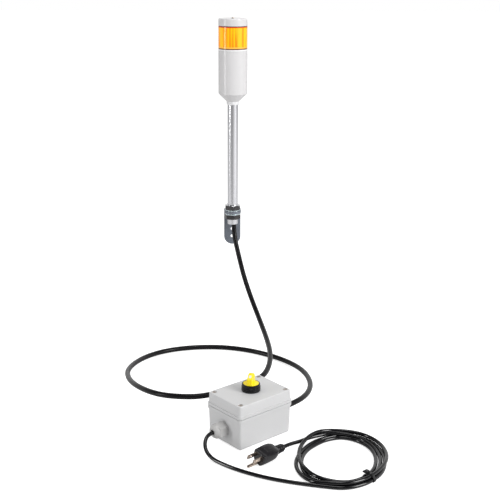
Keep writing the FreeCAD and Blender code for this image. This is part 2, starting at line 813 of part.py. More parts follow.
def build_lid_screws():
    """Four slotted screws in the lid's recesses."""
    screws = []
    for index, (x, y) in enumerate(corners()):
        name = "lid_screw_%d" % index
        head = cylinder(name + "_head", "screw_head_diameter / 2", "screw_head_height",
                        z="head_seat")
        shank = cylinder(name + "_shank", "screw_diameter / 2", "screw_length",
                         z="head_seat - screw_length")
        slot = block(name + "_slot", "screw_head_diameter * 2", "screw_slot", "screw_head_height",
                     z="head_seat + screw_head_height / 2")
        screw = cut(name, fuse(name + "_blank", head, shank), slot)
        place = "placement(vector(%s; %s; 0); rotation(vector(0; 0; 1); %d))"
        turn = 35 + 50 * index
        screw.setExpression("Placement", cells(place % (*corner_place(x, y), turn)))
        screws.append(screw)
    node(group("LidScrews", *screws), "lid_screws", BOX)


# ---------------------------------------------------------------- selector switch

def build_selector():
    """Bezel with its threaded barrel, seal, ring nut, knob, pointer and contact block."""
    play = "shaft_radius + shaft_play"
    rib = "bezel_height / 5"
    waist = "bezel_radius - bezel_waist"
    node(turned("SelectorBezel", [
        (play, "barrel_foot"), ("barrel_radius", "barrel_foot"), ("barrel_radius", "bezel_foot"),
        ("bezel_radius", "bezel_foot"), ("bezel_radius", "bezel_foot + %s * 1.5" % rib),
        (waist, "bezel_foot + %s * 1.7" % rib), (waist, "bezel_foot + %s * 2.1" % rib),
        ("bezel_radius", "bezel_foot + %s * 2.3" % rib),
        ("bezel_radius", "bezel_foot + %s * 2.9" % rib),
        (waist, "bezel_foot + %s * 3.1" % rib), (waist, "bezel_top - 0.8"),
        (waist + " - 0.8", "bezel_top"), ("knob_diameter / 2 + knob_play", "bezel_top"),
        ("knob_diameter / 2 + knob_play", "knob_seat"), (play, "knob_seat"),
    ]), "selector_bezel", SELECTOR)
    node(ring("SelectorSeal", "barrel_radius", "selector_seal_diameter / 2", "box_height",
              "bezel_foot"), "selector_seal", SELECTOR)
    nut_top = "box_height - box_wall"
    nut = ring("RingNut", "barrel_radius", "ring_nut_diameter / 2",
               nut_top + " - ring_nut_thickness", nut_top)
    node(nut, "selector_ring_nut", SELECTOR)
    build_knob()
    body = block("contact_body", "contact_length", "contact_width", "contact_height",
                 z="barrel_foot - contact_height")
    screws = []
    for side in (-1, 1):
        screws.append(cylinder(
            "contact_screw_%d" % (side + 1), "contact_screw_diameter / 2", "contact_neck",
            "%d * contact_length / 3" % side, "contact_width / 4",
            "barrel_foot - contact_neck"))
    wells = []
    for index, screw in enumerate(screws):
        side = (-1, 1)[index]
        wells.append(cylinder(
            "contact_well_%d" % index, "contact_screw_diameter / 2", "contact_neck",
            "%d * contact_length / 3" % side, "contact_width / 4",
            "barrel_foot - contact_neck"))
    node(cut("ContactBlock", body, *wells), "contact_block", SELECTOR)
    node(group("ContactScrews", *screws), "contact_screws", SELECTOR)


def build_knob():
    """Turning knob: a disc in the bezel, a raised grip and a shaft; the pointer is let into it."""
    seat = "knob_seat + knob_play"
    disc = turned("KnobDisc", [
        ("0", "barrel_foot + knob_play"), ("shaft_radius", "barrel_foot + knob_play"),
        ("shaft_radius", seat), ("knob_diameter / 2", seat), ("knob_diameter / 2", "bezel_top"),
        ("knob_diameter / 2 - 0.6", "bezel_top + 0.3"), ("0", "bezel_top + 0.3"),
    ])
    grip = doc.addObject("PartDesign::Body", "KnobGrip")
    side = sketch_on(grip, "XZ_Plane", "grip_side", "-grip_width / 2")
    half = "knob_diameter / 2"
    top = "bezel_top + grip_height"
    shoulder = "bezel_top + grip_front_height"
    outline(side, [
        ("-%s * 0.86" % half, "bezel_top"), (half + " * 0.95", "bezel_top"),
        (half + " * 0.93", shoulder), (half + " * 0.16", top), ("-%s * 0.4" % half, top),
        ("-%s * 0.82" % half, shoulder),
    ])
    pad(grip, side, "grip_width", "grip_block")
    foot = number("bezel_top")
    fillet(grip, "grip_round", "grip_edges", lambda edge: edge.BoundBox.ZMax > foot + 0.01)
    slope = ("placement(vector(%s * 0.5; 0; %s); rotation(vector(0; 1; 0);"
             " atan((grip_height - grip_front_height) / (%s * 0.77))))")
    slope = slope % (half, "bezel_top + grip_height * 0.56 + grip_front_height * 0.44", half)
    centre = " * placement(vector(-pointer_length / 2; -pointer_width / 2; -pointer_depth);"
    centre += " rotation(vector(0; 0; 1); 0))"
    groove = new("Part::Box", "pointer_way", Length="pointer_length", Width="pointer_width",
                 Height="pointer_depth * 2")
    insert = new("Part::Box", "PointerBar", Length="pointer_length", Width="pointer_width",
                 Height="pointer_depth")
    for item in (groove, insert):
        item.setExpression("Placement", cells(slope + centre))
    turn = " * placement(vector(0; 0; 0); rotation(vector(0; 0; 1); grip_turn))"
    node(cut("SelectorKnob", fuse("knob_blank", disc, grip), groove), "selector_knob",
         SELECTOR + turn)
    node(group("KnobPointer", insert), "knob_pointer", SELECTOR + turn)


def build_terminal_strip():
    """Screw terminal strip on the floor of the box."""
    base = block("strip_body", "strip_length", "strip_width", "strip_height", z="box_wall")
    wells = []
    for index in range(SIZES["strip_poles"]):
        place = "strip_length * %g" % ((index + 0.5) / SIZES["strip_poles"] - 0.5)
        for side in (-1, 1):
            wells.append(cylinder(
                "strip_well_%d_%d" % (index, side + 1), "contact_screw_diameter / 2",
                "strip_height", place, "%d * strip_width / 4" % side,
                "box_wall + strip_height * 0.6"))
    node(cut("TerminalStrip", base, *wells), "terminal_strip", BOX)


# ---------------------------------------------------------------- cable glands

def build_gland(prefix, frame, flats, thread, cord):
    """Cable gland: body, dome nut, sealing ring and lock nut, standing outwards on the wall."""
    name = prefix.title().replace("_", "")
    hexagon = "gland_hex_thickness"
    reach = hexagon + " + gland_nut_length"
    end = reach + " + gland_dome_length"
    sleeve = "(%s) / 2 - gland_wall * 1.5" % flats
    bore = cord + " + 0.4"
    stub = "-(box_wall + gland_stub)"
    base_hex = hexagon_nut(name + "BaseHex", flats, hexagon, bore, "0.6")
    base_stub = ring(name + "BaseStub", bore, "(%s) / 2" % thread, stub, "0.5")
    base_sleeve = ring(name + "BaseSleeve", sleeve + " - gland_wall", sleeve, "0.5",
                       reach + " - 1")
    node(fuse(name + "Body", base_hex, base_stub, base_sleeve), prefix + "_gland_body", frame)
    outer = "(%s) / 2 - 0.2" % flats
    corner = "(%s) / 2 / cos(30)" % flats
    nut_prism = new("Part::Prism", name + "NutPrism", Circumradius=corner,
                    Height="gland_nut_length + gland_dome_length")
    nut_prism.Polygon = 6
    at(nut_prism, z=hexagon + " + 0.2")
    mouth = cord + " + 1.2"
    nut_blank = turned(name + "NutBlank", [
        (sleeve + " + bore_play", hexagon + " + 0.2"), (outer, hexagon + " + 0.2"),
        (corner, hexagon + " + 0.9"), (corner, reach + " - 0.8"), (outer, reach),
        (outer + " - 0.6", reach + " + gland_dome_length * 0.35"),
        (outer + " - 1.9", reach + " + gland_dome_length * 0.7"),
        ("%s + (%s - %s) * 0.35" % (mouth, outer, mouth), end), (mouth, end),
        (mouth, reach + " + gland_dome_length * 0.45"), (sleeve + " + bore_play", reach + " - 1"),
    ])
    nut = doc.addObject("Part::Common", name + "Nut")
    nut.Base = nut_prism
    nut.Tool = nut_blank
    node(nut, prefix + "_gland_nut", frame)
    seal = ring(name + "Seal", cord, sleeve + " - gland_wall", hexagon + " + 1.2", reach + " - 1")
    node(seal, prefix + "_gland_seal", frame)
    lock = hexagon_nut(name + "Lock", flats, "lock_nut_thickness", "(%s) / 2 + bore_play" % thread,
                       "0.5")
    inside = " * placement(vector(0; 0; gland_wall_inside - lock_nut_thickness);"
    node(lock, prefix + "_gland_locknut", frame + inside + " rotation(vector(0; 0; 1); 0))")
    tail = cylinder(name + "CordInside", cord, "%s + box_wall + gland_stub + cord_grip" % end,
                    z="-(box_wall + gland_stub + cord_grip)")
    node(group(name + "CordGrip", tail), prefix + "_cord_inside", frame)


# ---------------------------------------------------------------- cords

def tube(route, diameter, name):
    """A round cord along a route of points, with a tangent arc at each point between the ends."""
    points = [Vector(*point) for point in route]
    edges = []
    start = points[0]
    radii = []
    for before, corner, after in zip(points, points[1:], points[2:]):
        way_in = (corner - before).normalize()
        way_out = (after - corner).normalize()
        half_turn = way_in.getAngle(way_out) / 2
        shorter = min((corner - before).Length, (after - corner).Length)
        setback = 0.45 * shorter
        radii.append(setback / math.tan(half_turn))
        enter = corner - way_in * setback
        leave = corner + way_out * setback
        centre = corner + (way_out - way_in).normalize() * (radii[-1] / math.cos(half_turn))
        middle = centre + (corner - centre).normalize() * radii[-1]
        edges.append(Part.LineSegment(start, enter).toShape())
        edges.append(Part.Arc(enter, middle, leave).toShape())
        start = leave
    edges.append(Part.LineSegment(start, points[-1]).toShape())
    path = Part.Wire(edges)
    section = Part.Wire(Part.Circle(points[0], points[1] - points[0], diameter / 2).toShape())
    shape = path.makePipeShell([section], True, True)
    expected = math.pi * diameter ** 2 / 4 * path.Length
    print("%s: length %.0f mm, volume ratio %.4f, least radius %.0f mm, radii %s" % (
        name, path.Length, shape.Volume / expected, min(radii),
        " ".join("%.0f" % radius for radius in radii)))
    return shape


def add_tube(label, route, diameter):
    """A cord's tube as a sub-part of its own."""
    item = doc.addObject("Part::Feature", label.title().replace("_", ""))
    item.Shape = tube(route, number(diameter), label)
    node(item, label)


def local_to_world(frame, x, y, z):
    """A point of a frame, in the part's own frame."""
    probe = doc.addObject("Part::Vertex", "probe")
    probe.setExpression("Placement", cells(frame))
    doc.recompute()
    point = probe.Placement.multVec(Vector(number(x), number(y), number(z)))
    doc.removeObject(probe.Name)
    return tuple(point)


def build_cords():
    """The cord from the light to the box, and the mains cord from the box to the plug."""
    floor = -SIZES["mount_height"]
    light_rest = floor + number("light_cord_radius")
    mains_rest = floor + number("mains_cord_radius")
    pole_start = local_to_world(LIGHT, "pole_cord_x", "pole_cord_y", "pole_end + cord_start")
    pole_x, pole_y, pole_z = pole_start
    add_tube("light_cord", [
        pole_start,
        (pole_x, pole_y, pole_z - 22),
        (pole_x + 1.2, pole_y - 5, pole_z - 50),
        (10.6, -48, -32),
        (19.6, -73, -67),
        (31.8, -112, -98),
        (45, -165, -122),
        (55.6, -235, -136),
        (59, -296, -141),
        (52.5, -347, -145),
        (38.5, -385, -147),
        (9, -407, -148.5),
        (-25, -430, -150.2),
        (-62, -450, -150.5),
        (-100, -449, -150.8),
        (-138, -430, -154),
        (-172, -380, -162),
        (-192, -310, -177),
        (-197, -240, -190),
        (-176, -170, -199),
        (-136, -124, light_rest),
        (-80, -107, light_rest),
        (-18, -108, light_rest),
        (42, -132, light_rest),
        (92.4, -176, light_rest + 0.5),
        (123, -235, -198.5),
        (131, -302, -193.5),
        (120.6, -358, -188.4),
        local_to_world(BOX, "gland_reach + 30", "0", "light_gland_rise"),
        local_to_world(BOX, "gland_reach", "0", "light_gland_rise"),
    ], "light_cord_diameter")
    add_tube("mains_cord_lead", [
        local_to_world(BOX, "-gland_reach", "0", "gland_rise"),
        local_to_world(BOX, "-gland_reach - 10", "0", "gland_rise"),
        (-57, -528, -194),
        (-54, -542, -201.5),
        (-43, -560, mains_rest),
        (-22, -584, mains_rest),
        (8, -605, mains_rest),
        (42, -622, mains_rest),
        (80, -636, mains_rest),
        (118, -643, mains_rest),
    ], "mains_cord_diameter")
    add_tube("mains_cord_tail", [
        (105, -504.8, -199),
        (90.5, -516.6, -198.8),
        local_to_world(PLUG, "plug_length + 16", "0", "plug_neck_rise"),
        local_to_world(PLUG, "plug_length", "0", "plug_neck_rise"),
    ], "mains_cord_diameter")


def build_coil():
    """The tied coil of the mains cord, as the ring that its turns fill, and its cable tie."""
    body = doc.addObject("PartDesign::Body", "MainsCordCoil")
    plan = sketch_on(body, "XY_Plane", "coil_plan")
    for inset in ("0", "coil_band"):
        major = "coil_length / 2 - " + inset
        minor = "coil_breadth / 2 - " + inset
        ellipse = Part.Ellipse(Vector(0, 0, 0), number(major), number(minor))
        index = plan.addGeometry(ellipse, False)
        plan.exposeInternalGeometry(index)
        fix_point(plan, index, 3, "0", "0")
        fix_point(plan, index + 1, 2, major, "0")
        reach = plan.addConstraint(
            Sketcher.Constraint("DistanceY", -1, 1, index + 2, 2, number(minor)))
        plan.setExpression("Constraints[%d]" % reach, cells(minor))
    pad(body, plan, "coil_thickness", "coil_ring")
    fillet(body, "coil_round", "coil_edges", lambda edge: edge.Length > 100)
    node(body, "mains_cord_coil", COIL)


def build_tie():
    """Strap and head of the cable tie that holds the coil."""
    angle = math.radians(number("tie_angle - 90 - coil_turn"))
    along = number("coil_length / 2 - coil_band / 2") * math.cos(angle)
    across = number("coil_breadth / 2 - coil_band / 2") * math.sin(angle)
    tangent = math.degrees(math.atan2(
        number("coil_breadth / 2 - coil_band / 2") * math.cos(angle),
        -number("coil_length / 2 - coil_band / 2") * math.sin(angle)))
    outer = block("tie_outer", "tie_width", "coil_band + (tie_strap + tie_play) * 2",
                  "coil_thickness + (tie_strap + tie_play) * 2", z="-tie_strap - tie_play")
    inner = block("tie_inner", "tie_width * 2", "coil_band + tie_play * 2",
                  "coil_thickness + tie_play * 2", z="-tie_play")
    head = block("tie_head", "tie_width * 1.3", "tie_width", "tie_strap * 2.4",
                 y="coil_band / 3", z="coil_thickness + tie_play")
    strap = cut("tie_strap_loop", outer, inner)
    tie = fuse("CableTie", strap, head)
    frame = COIL + " * placement(vector(%g; %g; 0); rotation(vector(0; 0; 1); %g))"
    node(tie, "cable_tie", frame % (along, across, tangent))


# ---------------------------------------------------------------- mains plug

def plug_section(width, height, base):
    """Corners of a section of the plug: flat on top, drawn in towards its foot."""
    half = "(%s) / 2" % width
    top = "%s + %s" % (base, height)
    foot = "plug_foot_width / 2"
    return [
        ("-" + foot, base), (foot, base), (half, "%s + %s * 0.42" % (base, height)),
        (half, top + " - 3"), (half + " - 3", top), ("-%s + 3" % half, top),
        ("-" + half, top + " - 3"), ("-" + half, "%s + %s * 0.42" % (base, height)),
    ]


def build_plug():
    """Moulded plug: a body that narrows to a ribbed neck, two blades and a ground pin."""
    body = doc.addObject("PartDesign::Body", "PlugShell")
    face = sketch_on(body, "YZ_Plane", "plug_face")
    outline(face, plug_section("plug_face_width", "plug_height", "0"))
    middle = sketch_on(body, "YZ_Plane", "plug_middle", "plug_body_length * 0.4")
    outline(middle, plug_section("plug_middle_width", "plug_height", "plug_back_rise / 5"))
    rear = sketch_on(body, "YZ_Plane", "plug_rear", "plug_body_length")
    outline(rear, plug_section("plug_back_width", "plug_back_height", "plug_back_rise"))
    loft = body.newObject("PartDesign::AdditiveLoft", "plug_loft")
    loft.Profile = face
    loft.Sections = [middle, rear]
    doc.recompute()
    neck_profile = [("0", "plug_body_length - 2"), ("plug_neck_diameter / 2", "plug_body_length - 2")]
    step = "plug_rib_width"
    first = "plug_body_length + plug_rib_width"
    taper = "plug_neck_diameter / 2 - 0.12 * %d"
    for rib in range(PLUG_RIBS):
        start = "%s + %s * %d" % (first, step, rib * 2)
        wide = taper % rib
        neck_profile += [
            (wide, start), (wide + " - plug_rib_depth", start + " + 0.4"),
            (wide + " - plug_rib_depth", start + " + %s - 0.4" % step),
            (taper % (rib + 1), start + " + " + step),
        ]
    end = "plug_length"
    neck_profile += [(taper % (PLUG_RIBS + 1), end), ("0", end)]
    neck = turned("PlugNeck", neck_profile)
    neck.setExpression("Placement", cells(
        "placement(vector(0; 0; plug_neck_rise); rotation(vector(0; 1; 0); 90))"))
    bars = [
        block("plug_bar_%d" % index, "1.6", "plug_back_width * 0.5", "1.2",
              "plug_body_length * %g" % share, "0", "plug_height - 0.9 + %g" % lift)
        for index, (share, lift) in enumerate(((0.38, 0.5), (0.62, 0.4)))
    ]
    node(fuse("PlugBody", body, neck, *bars), "plug_body", PLUG)
    blades = []
    for side in (-1, 1):
        name = "blade_%d" % (side + 1)
        blade = block(name + "_blank", "blade_length", "blade_thickness", "blade_width",
                      "-blade_length / 2", "%d * blade_spacing / 2" % side,
                      "blade_rise - blade_width / 2")
        hole = new("Part::Cylinder", name + "_hole", Radius="blade_hole / 2",
                   Height="blade_thickness * 4")
        hole.setExpression("Placement", cells(
            "placement(vector(-blade_length * 0.66; %d * blade_spacing / 2 + blade_thickness * 2;"
            " blade_rise); rotation(vector(1; 0; 0); 90))" % side))
        blades.append(cut(name, blade, hole))
    node(group("PlugBlades", *blades), "plug_blades", PLUG)
    pin = turned("GroundPin", [
        ("0", "0"), ("pin_diameter / 2", "0"), ("pin_diameter / 2", "pin_length - 2"),
        ("pin_diameter / 2 - 0.7", "pin_length - 0.6"), ("pin_diameter / 4", "pin_length"),
        ("0", "pin_length"),
    ])
    drop = " * placement(vector(0; 0; blade_rise - pin_drop); rotation(vector(0; 1; 0); -90))"
    node(pin, "plug_ground_pin", PLUG + drop)


# ---------------------------------------------------------------- build, check and write

def build_all():
    """Every sub-part, from the bracket to the plug."""
    build_bracket()
    build_pole_fastening()
    build_head_shells()
    build_lens()
    build_head_inside()
    build_box_base()
    build_box_lid()
    build_lid_gasket()
    build_lid_screws()
    build_selector()
    build_terminal_strip()
    build_gland("mains", MAINS_GLAND, "mains_gland_flats", "mains_thread_diameter",
                "mains_cord_radius")
    build_gland("light", LIGHT_GLAND, "light_gland_flats", "light_thread_diameter",
                "light_cord_radius")
    build_cords()
    build_coil()
    build_tie()
    build_plug()
    doc.recompute()


def check():
    """Stop if any object failed or any sub-part is not a valid solid."""
    for item in doc.Objects:
        if "Invalid" in item.State or "Error" in item.State:
            raise RuntimeError("%s failed: %s" % (item.Label, item.State))
    for item in nodes:
        shape = item.Shape
        if shape.isNull() or not shape.isValid() or not shape.Solids:
            raise RuntimeError("%s has no valid solid" % item.Label)


def write():
    """One STEP file for each sub-part."""
    os.makedirs("parts", exist_ok=True)
    for item in nodes:
        item.Shape.exportStep(os.path.join("parts", item.Label + ".step"))


build_all()
check()
write()
print("%d sub-parts written" % len(nodes))
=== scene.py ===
"""Stack light with its selector box, cords and plug: materials, cords, trim, light and camera."""
import math

import bmesh
import bpy
from mathutils import Matrix, Vector
from mathutils.geometry import convex_hull_2d


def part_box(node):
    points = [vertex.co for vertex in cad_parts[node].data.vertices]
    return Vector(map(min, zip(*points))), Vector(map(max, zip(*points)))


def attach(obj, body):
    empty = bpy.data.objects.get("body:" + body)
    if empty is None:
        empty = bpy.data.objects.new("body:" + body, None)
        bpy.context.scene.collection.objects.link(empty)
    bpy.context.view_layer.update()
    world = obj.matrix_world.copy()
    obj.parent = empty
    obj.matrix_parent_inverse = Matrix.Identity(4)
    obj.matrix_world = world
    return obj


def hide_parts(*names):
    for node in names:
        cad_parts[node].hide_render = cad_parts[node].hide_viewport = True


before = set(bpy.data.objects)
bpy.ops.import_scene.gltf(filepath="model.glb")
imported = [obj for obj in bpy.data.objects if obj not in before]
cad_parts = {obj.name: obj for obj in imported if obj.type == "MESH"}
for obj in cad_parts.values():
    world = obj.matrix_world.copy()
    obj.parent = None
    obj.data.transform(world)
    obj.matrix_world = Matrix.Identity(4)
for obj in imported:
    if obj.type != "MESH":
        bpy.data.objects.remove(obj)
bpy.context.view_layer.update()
# Lengths are in millimetres, except in the calls that Blender reads in metres.
MM = 0.001
# Height of the surface that the box, the cords and the plug rest on.
FLOOR = -207.9
# The box's middle, its turn about Z, and how far its glands' mouths stand from the middle.
BOX_AT, BOX_YAW = (13.9, -465.8), math.radians(38)
GLAND_REACH = 76.33
# The plug's body and neck together, and the height of the neck's axis over the plug's foot.
PLUG_LENGTH, PLUG_AXIS = 52.0, 12.4
# Diameters of the light cord and the mains cord.
THICK, THIN = 9.1, 6.0


# ---------------------------------------------------------------- helpers

def mm(x, y, z):
    """A point given in millimetres."""
    return Vector((x, y, z)) * MM


def local(place, yaw, x, y, z):
    """A point of a piece that stands on the floor, turned about Z, in millimetres."""
    c, s = math.cos(yaw), math.sin(yaw)
    return (place[0] + x * c - y * s, place[1] + x * s + y * c, FLOOR + z)


# The plug lies rolled a little to one side, on the edge of its narrow foot.
PLUG_FRAME = (
    Matrix.Translation(mm(20.6, -573, FLOOR + 1.125)) @ Matrix.Rotation(math.radians(40), 4, "Z")
    @ Matrix.Rotation(math.radians(13), 4, "X"))


def on_plug(x, y, z):
    """A point of the plug in metres, from millimetres in the plug's own frame."""
    return PLUG_FRAME @ mm(x, y, z)


def mesh_piece(name, verts, faces, material):
    """A smooth-shaded mesh object from plain lists, in metres."""
    mesh = bpy.data.meshes.new(name)
    mesh.from_pydata([tuple(v) for v in verts], [], faces)
    edit = bmesh.new()
    edit.from_mesh(mesh)
    bmesh.ops.remove_doubles(edit, verts=edit.verts, dist=1e-7)
    bmesh.ops.recalc_face_normals(edit, faces=edit.faces)
    edit.to_mesh(mesh)
    edit.free()
    for face in mesh.polygons:
        face.use_smooth = True
    mesh.materials.append(material)
    piece = bpy.data.objects.new(name, mesh)
    bpy.context.scene.collection.objects.link(piece)
    return piece


def loft(rings, closed_ends=True):
    """Vertices and faces of a skin over rings of points, one after another."""
    count = len(rings[0])
    verts = [point for ring in rings for point in ring]
    faces = []
    for i in range(len(rings) - 1):
        for j in range(count):
            k = (j + 1) % count
            faces.append((i * count + j, i * count + k, (i + 1) * count + k, (i + 1) * count + j))
    if closed_ends:
        faces.append(tuple(range(count)))
        faces.append(tuple((len(rings) - 1) * count + j for j in range(count)))
    return verts, faces


def lathe(profile, place, sides):
    """Vertices and faces of a (radius, height) profile, from axis to axis, turned about Z."""
    rings = []
    for radius, height in profile:
        rings.append([
            place @ (Vector((
                radius * math.cos(math.tau * i / sides), radius * math.sin(math.tau * i / sides),
                height)) * MM)
            for i in range(sides)
        ])
    return loft(rings, closed_ends=False)


def bevel(piece, width, segments=3, angle=30):
    """Rounded edges on a mesh piece."""
    modifier = piece.modifiers.new("edges", "BEVEL")
    modifier.width = width * MM
    modifier.segments = segments
    modifier.limit_method = "ANGLE"
    modifier.angle_limit = math.radians(angle)
    modifier.harden_normals = True


# ---------------------------------------------------------------- materials

class Nodes:
    """Short calls for building a material's nodes."""

    def __init__(self, name):
        self.material = bpy.data.materials.new(name)
        self.material.use_nodes = True
        self.tree = self.material.node_tree
        self.tree.nodes.clear()
        self.output = self.add("ShaderNodeOutputMaterial")
        self.where = self.add("ShaderNodeTexCoord").outputs["Object"]

    def add(self, kind, **settings):
        node = self.tree.nodes.new(kind)
        for key, value in settings.items():
            setattr(node, key, value)
        return node

    def link(self, source, target):
        self.tree.links.new(source, target)

    def noise(self, scale, detail=4, stretch=(1, 1, 1), rough=0.55):
        """Noise in the object's own space; scale counts features in a metre."""
        mapping = self.add("ShaderNodeMapping")
        mapping.inputs["Scale"].default_value = stretch
        self.link(self.where, mapping.inputs["Vector"])
        node = self.add("ShaderNodeTexNoise")
        node.inputs["Scale"].default_value = scale
        node.inputs["Detail"].default_value = detail
        node.inputs["Roughness"].default_value = rough
        self.link(mapping.outputs["Vector"], node.inputs["Vector"])
        return node.outputs["Fac"]

    def spread(self, source, low, high, start=0.3, end=0.7):
        """The source mapped to the range from low to high."""
        node = self.add("ShaderNodeMapRange")
        node.inputs["From Min"].default_value = start
        node.inputs["From Max"].default_value = end
        node.inputs["To Min"].default_value = low
        node.inputs["To Max"].default_value = high
        self.link(source, node.inputs["Value"])
        return node.outputs["Result"]

    def blend(self, factor, first, second):
        """A colour between first and second."""
        node = self.add("ShaderNodeMix", data_type="RGBA")
        self.link(factor, node.inputs["Factor"])
        for socket, value in ((node.inputs[6], first), (node.inputs[7], second)):
            if isinstance(value, bpy.types.NodeSocket):
                self.link(value, socket)
            else:
                socket.default_value = (*value, 1)
        return node.outputs[2]

    def relief(self, layers, round_edge=0.0):
        """Bump from (height source, depth in millimetres) layers over softened edges."""
        normal = None
        if round_edge:
            edge = self.add("ShaderNodeBevel", samples=4)
            edge.inputs["Radius"].default_value = round_edge * MM
            normal = edge.outputs["Normal"]
        for source, depth in layers:
            bump = self.add("ShaderNodeBump")
            bump.inputs["Strength"].default_value = 1
            bump.inputs["Distance"].default_value = depth * MM
            self.link(source, bump.inputs["Height"])
            if normal:
                self.link(normal, bump.inputs["Normal"])
            normal = bump.outputs["Normal"]
        return normal


def shade(color, change):
    """A colour made lighter or darker by a share."""
    return tuple(min(1.0, max(0.0, c * (1 + change))) for c in color)


def finish(name, color, rough=(0.35, 0.5), metallic=0.0, grain=900, depth=0.02, vary=0.05,
           stretch=(1, 1, 1), edge=0.35, dust=None, coat=0.0, specular=0.5, patch=45,
           painted_top_light=None):
    """A plain solid finish with mottled colour, uneven gloss, grain and soft edges.

    A lighter colour, when given, takes over on faces that look upward: a painted highlight for the
    light that falls on their tops.
    """
    n = Nodes(name)
    shader = n.add("ShaderNodeBsdfPrincipled")
    shader.inputs["Metallic"].default_value = metallic
    shader.inputs["Coat Weight"].default_value = coat
    shader.inputs["Coat Roughness"].default_value = 0.08
    shader.inputs["Specular IOR Level"].default_value = specular
    broad = n.noise(patch, 3, stretch)
    fine = n.noise(grain, 5, stretch)
    tint = n.blend(n.spread(broad, 0, 1), shade(color, -vary), shade(color, vary))
    if dust:
        settled = n.spread(n.noise(patch * 5, 6), 0, 0.35, 0.56, 0.75)
        tint = n.blend(settled, tint, dust)
    # Painted highlight: faces that look upward take the lighter colour, as if lit from above.
    if painted_top_light:
        lie = n.add("ShaderNodeSeparateXYZ")
        n.link(n.add("ShaderNodeNewGeometry").outputs["Normal"], lie.inputs[0])
        tint = n.blend(n.spread(lie.outputs[2], 0, 1, 0.12, 0.4), tint, painted_top_light)
    n.link(tint, shader.inputs["Base Color"])
    gloss = n.add("ShaderNodeMath", operation="ADD")
    n.link(n.spread(broad, rough[0], rough[1]), gloss.inputs[0])
    n.link(n.spread(fine, -0.03, 0.03), gloss.inputs[1])
    n.link(gloss.outputs[0], shader.inputs["Roughness"])
    n.link(n.relief([(fine, depth)], edge), shader.inputs["Normal"])
    n.link(shader.outputs[0], n.output.inputs["Surface"])
    return n.material


FLUTES = 40
AMBER_DEEP, AMBER_PALE = (0.93, 0.29, 0.0), (1.0, 0.62, 0.001)
# Shares of the lens's height between which each band comes in, and its colour.
AMBER_BANDS = (
    (0.945, 0.965, (0.66, 0.06, 0.01)),
    (0.13, 0.10, (1.0, 0.55, 0.08)),
    (0.06, 0.04, (0.16, 0.05, 0.02)),
)
# Stands in for the light that the clear wall scatters inside.
AMBER_GLOW = 0.20


def amber(low, high, axis):
    """Clear amber acrylic with moulded flutes inside and darker rims."""
    n = Nodes("amber_acrylic")
    shader = n.add("ShaderNodeBsdfPrincipled")
    shader.inputs["Transmission Weight"].default_value = 0.25
    shader.inputs["IOR"].default_value = 1.49
    place = n.add("ShaderNodeSeparateXYZ")
    n.link(n.where, place.inputs[0])
    turn = n.add("ShaderNodeMath", operation="ARCTAN2")
    for side, centre in enumerate(axis):
        shift = n.add("ShaderNodeMath", operation="SUBTRACT")
        n.link(place.outputs[side], shift.inputs[0])
        shift.inputs[1].default_value = centre
        n.link(shift.outputs[0], turn.inputs[1 - side])
    wave = n.add("ShaderNodeMath", operation="MULTIPLY")
    n.link(turn.outputs[0], wave.inputs[0])
    wave.inputs[1].default_value = FLUTES
    flute = n.add("ShaderNodeMath", operation="SINE")
    n.link(wave.outputs[0], flute.inputs[0])
    streak = n.noise(240, 2, (1, 1, 0.03))
    mixed = n.add("ShaderNodeMath", operation="MULTIPLY_ADD")
    n.link(flute.outputs[0], mixed.inputs[0])
    mixed.inputs[1].default_value = 0.03
    n.link(streak, mixed.inputs[2])
    tint = n.blend(n.spread(mixed.outputs[0], 0, 1, 0.41, 0.53), AMBER_DEEP, AMBER_PALE)
    height = n.add("ShaderNodeMapRange")
    height.inputs["From Min"].default_value = low
    height.inputs["From Max"].default_value = high
    n.link(place.outputs[2], height.inputs["Value"])
    for start, end, color in AMBER_BANDS:
        tint = n.blend(n.spread(height.outputs["Result"], 0, 1, start, end), tint, color)
    n.link(tint, shader.inputs["Base Color"])
    n.link(tint, shader.inputs["Emission Color"])
    shader.inputs["Emission Strength"].default_value = AMBER_GLOW
    shader.inputs["Sheen Weight"].default_value = 0.9
    shader.inputs["Sheen Roughness"].default_value = 0.3
    shader.inputs["Sheen Tint"].default_value = (1.0, 0.72, 0.55, 1)
    n.link(n.spread(n.noise(90, 3), 0.15, 0.18), shader.inputs["Roughness"])
    n.link(n.relief([(n.noise(250, 2), 0.004)]), shader.inputs["Normal"])
    n.link(shader.outputs[0], n.output.inputs["Surface"])
    return n.material


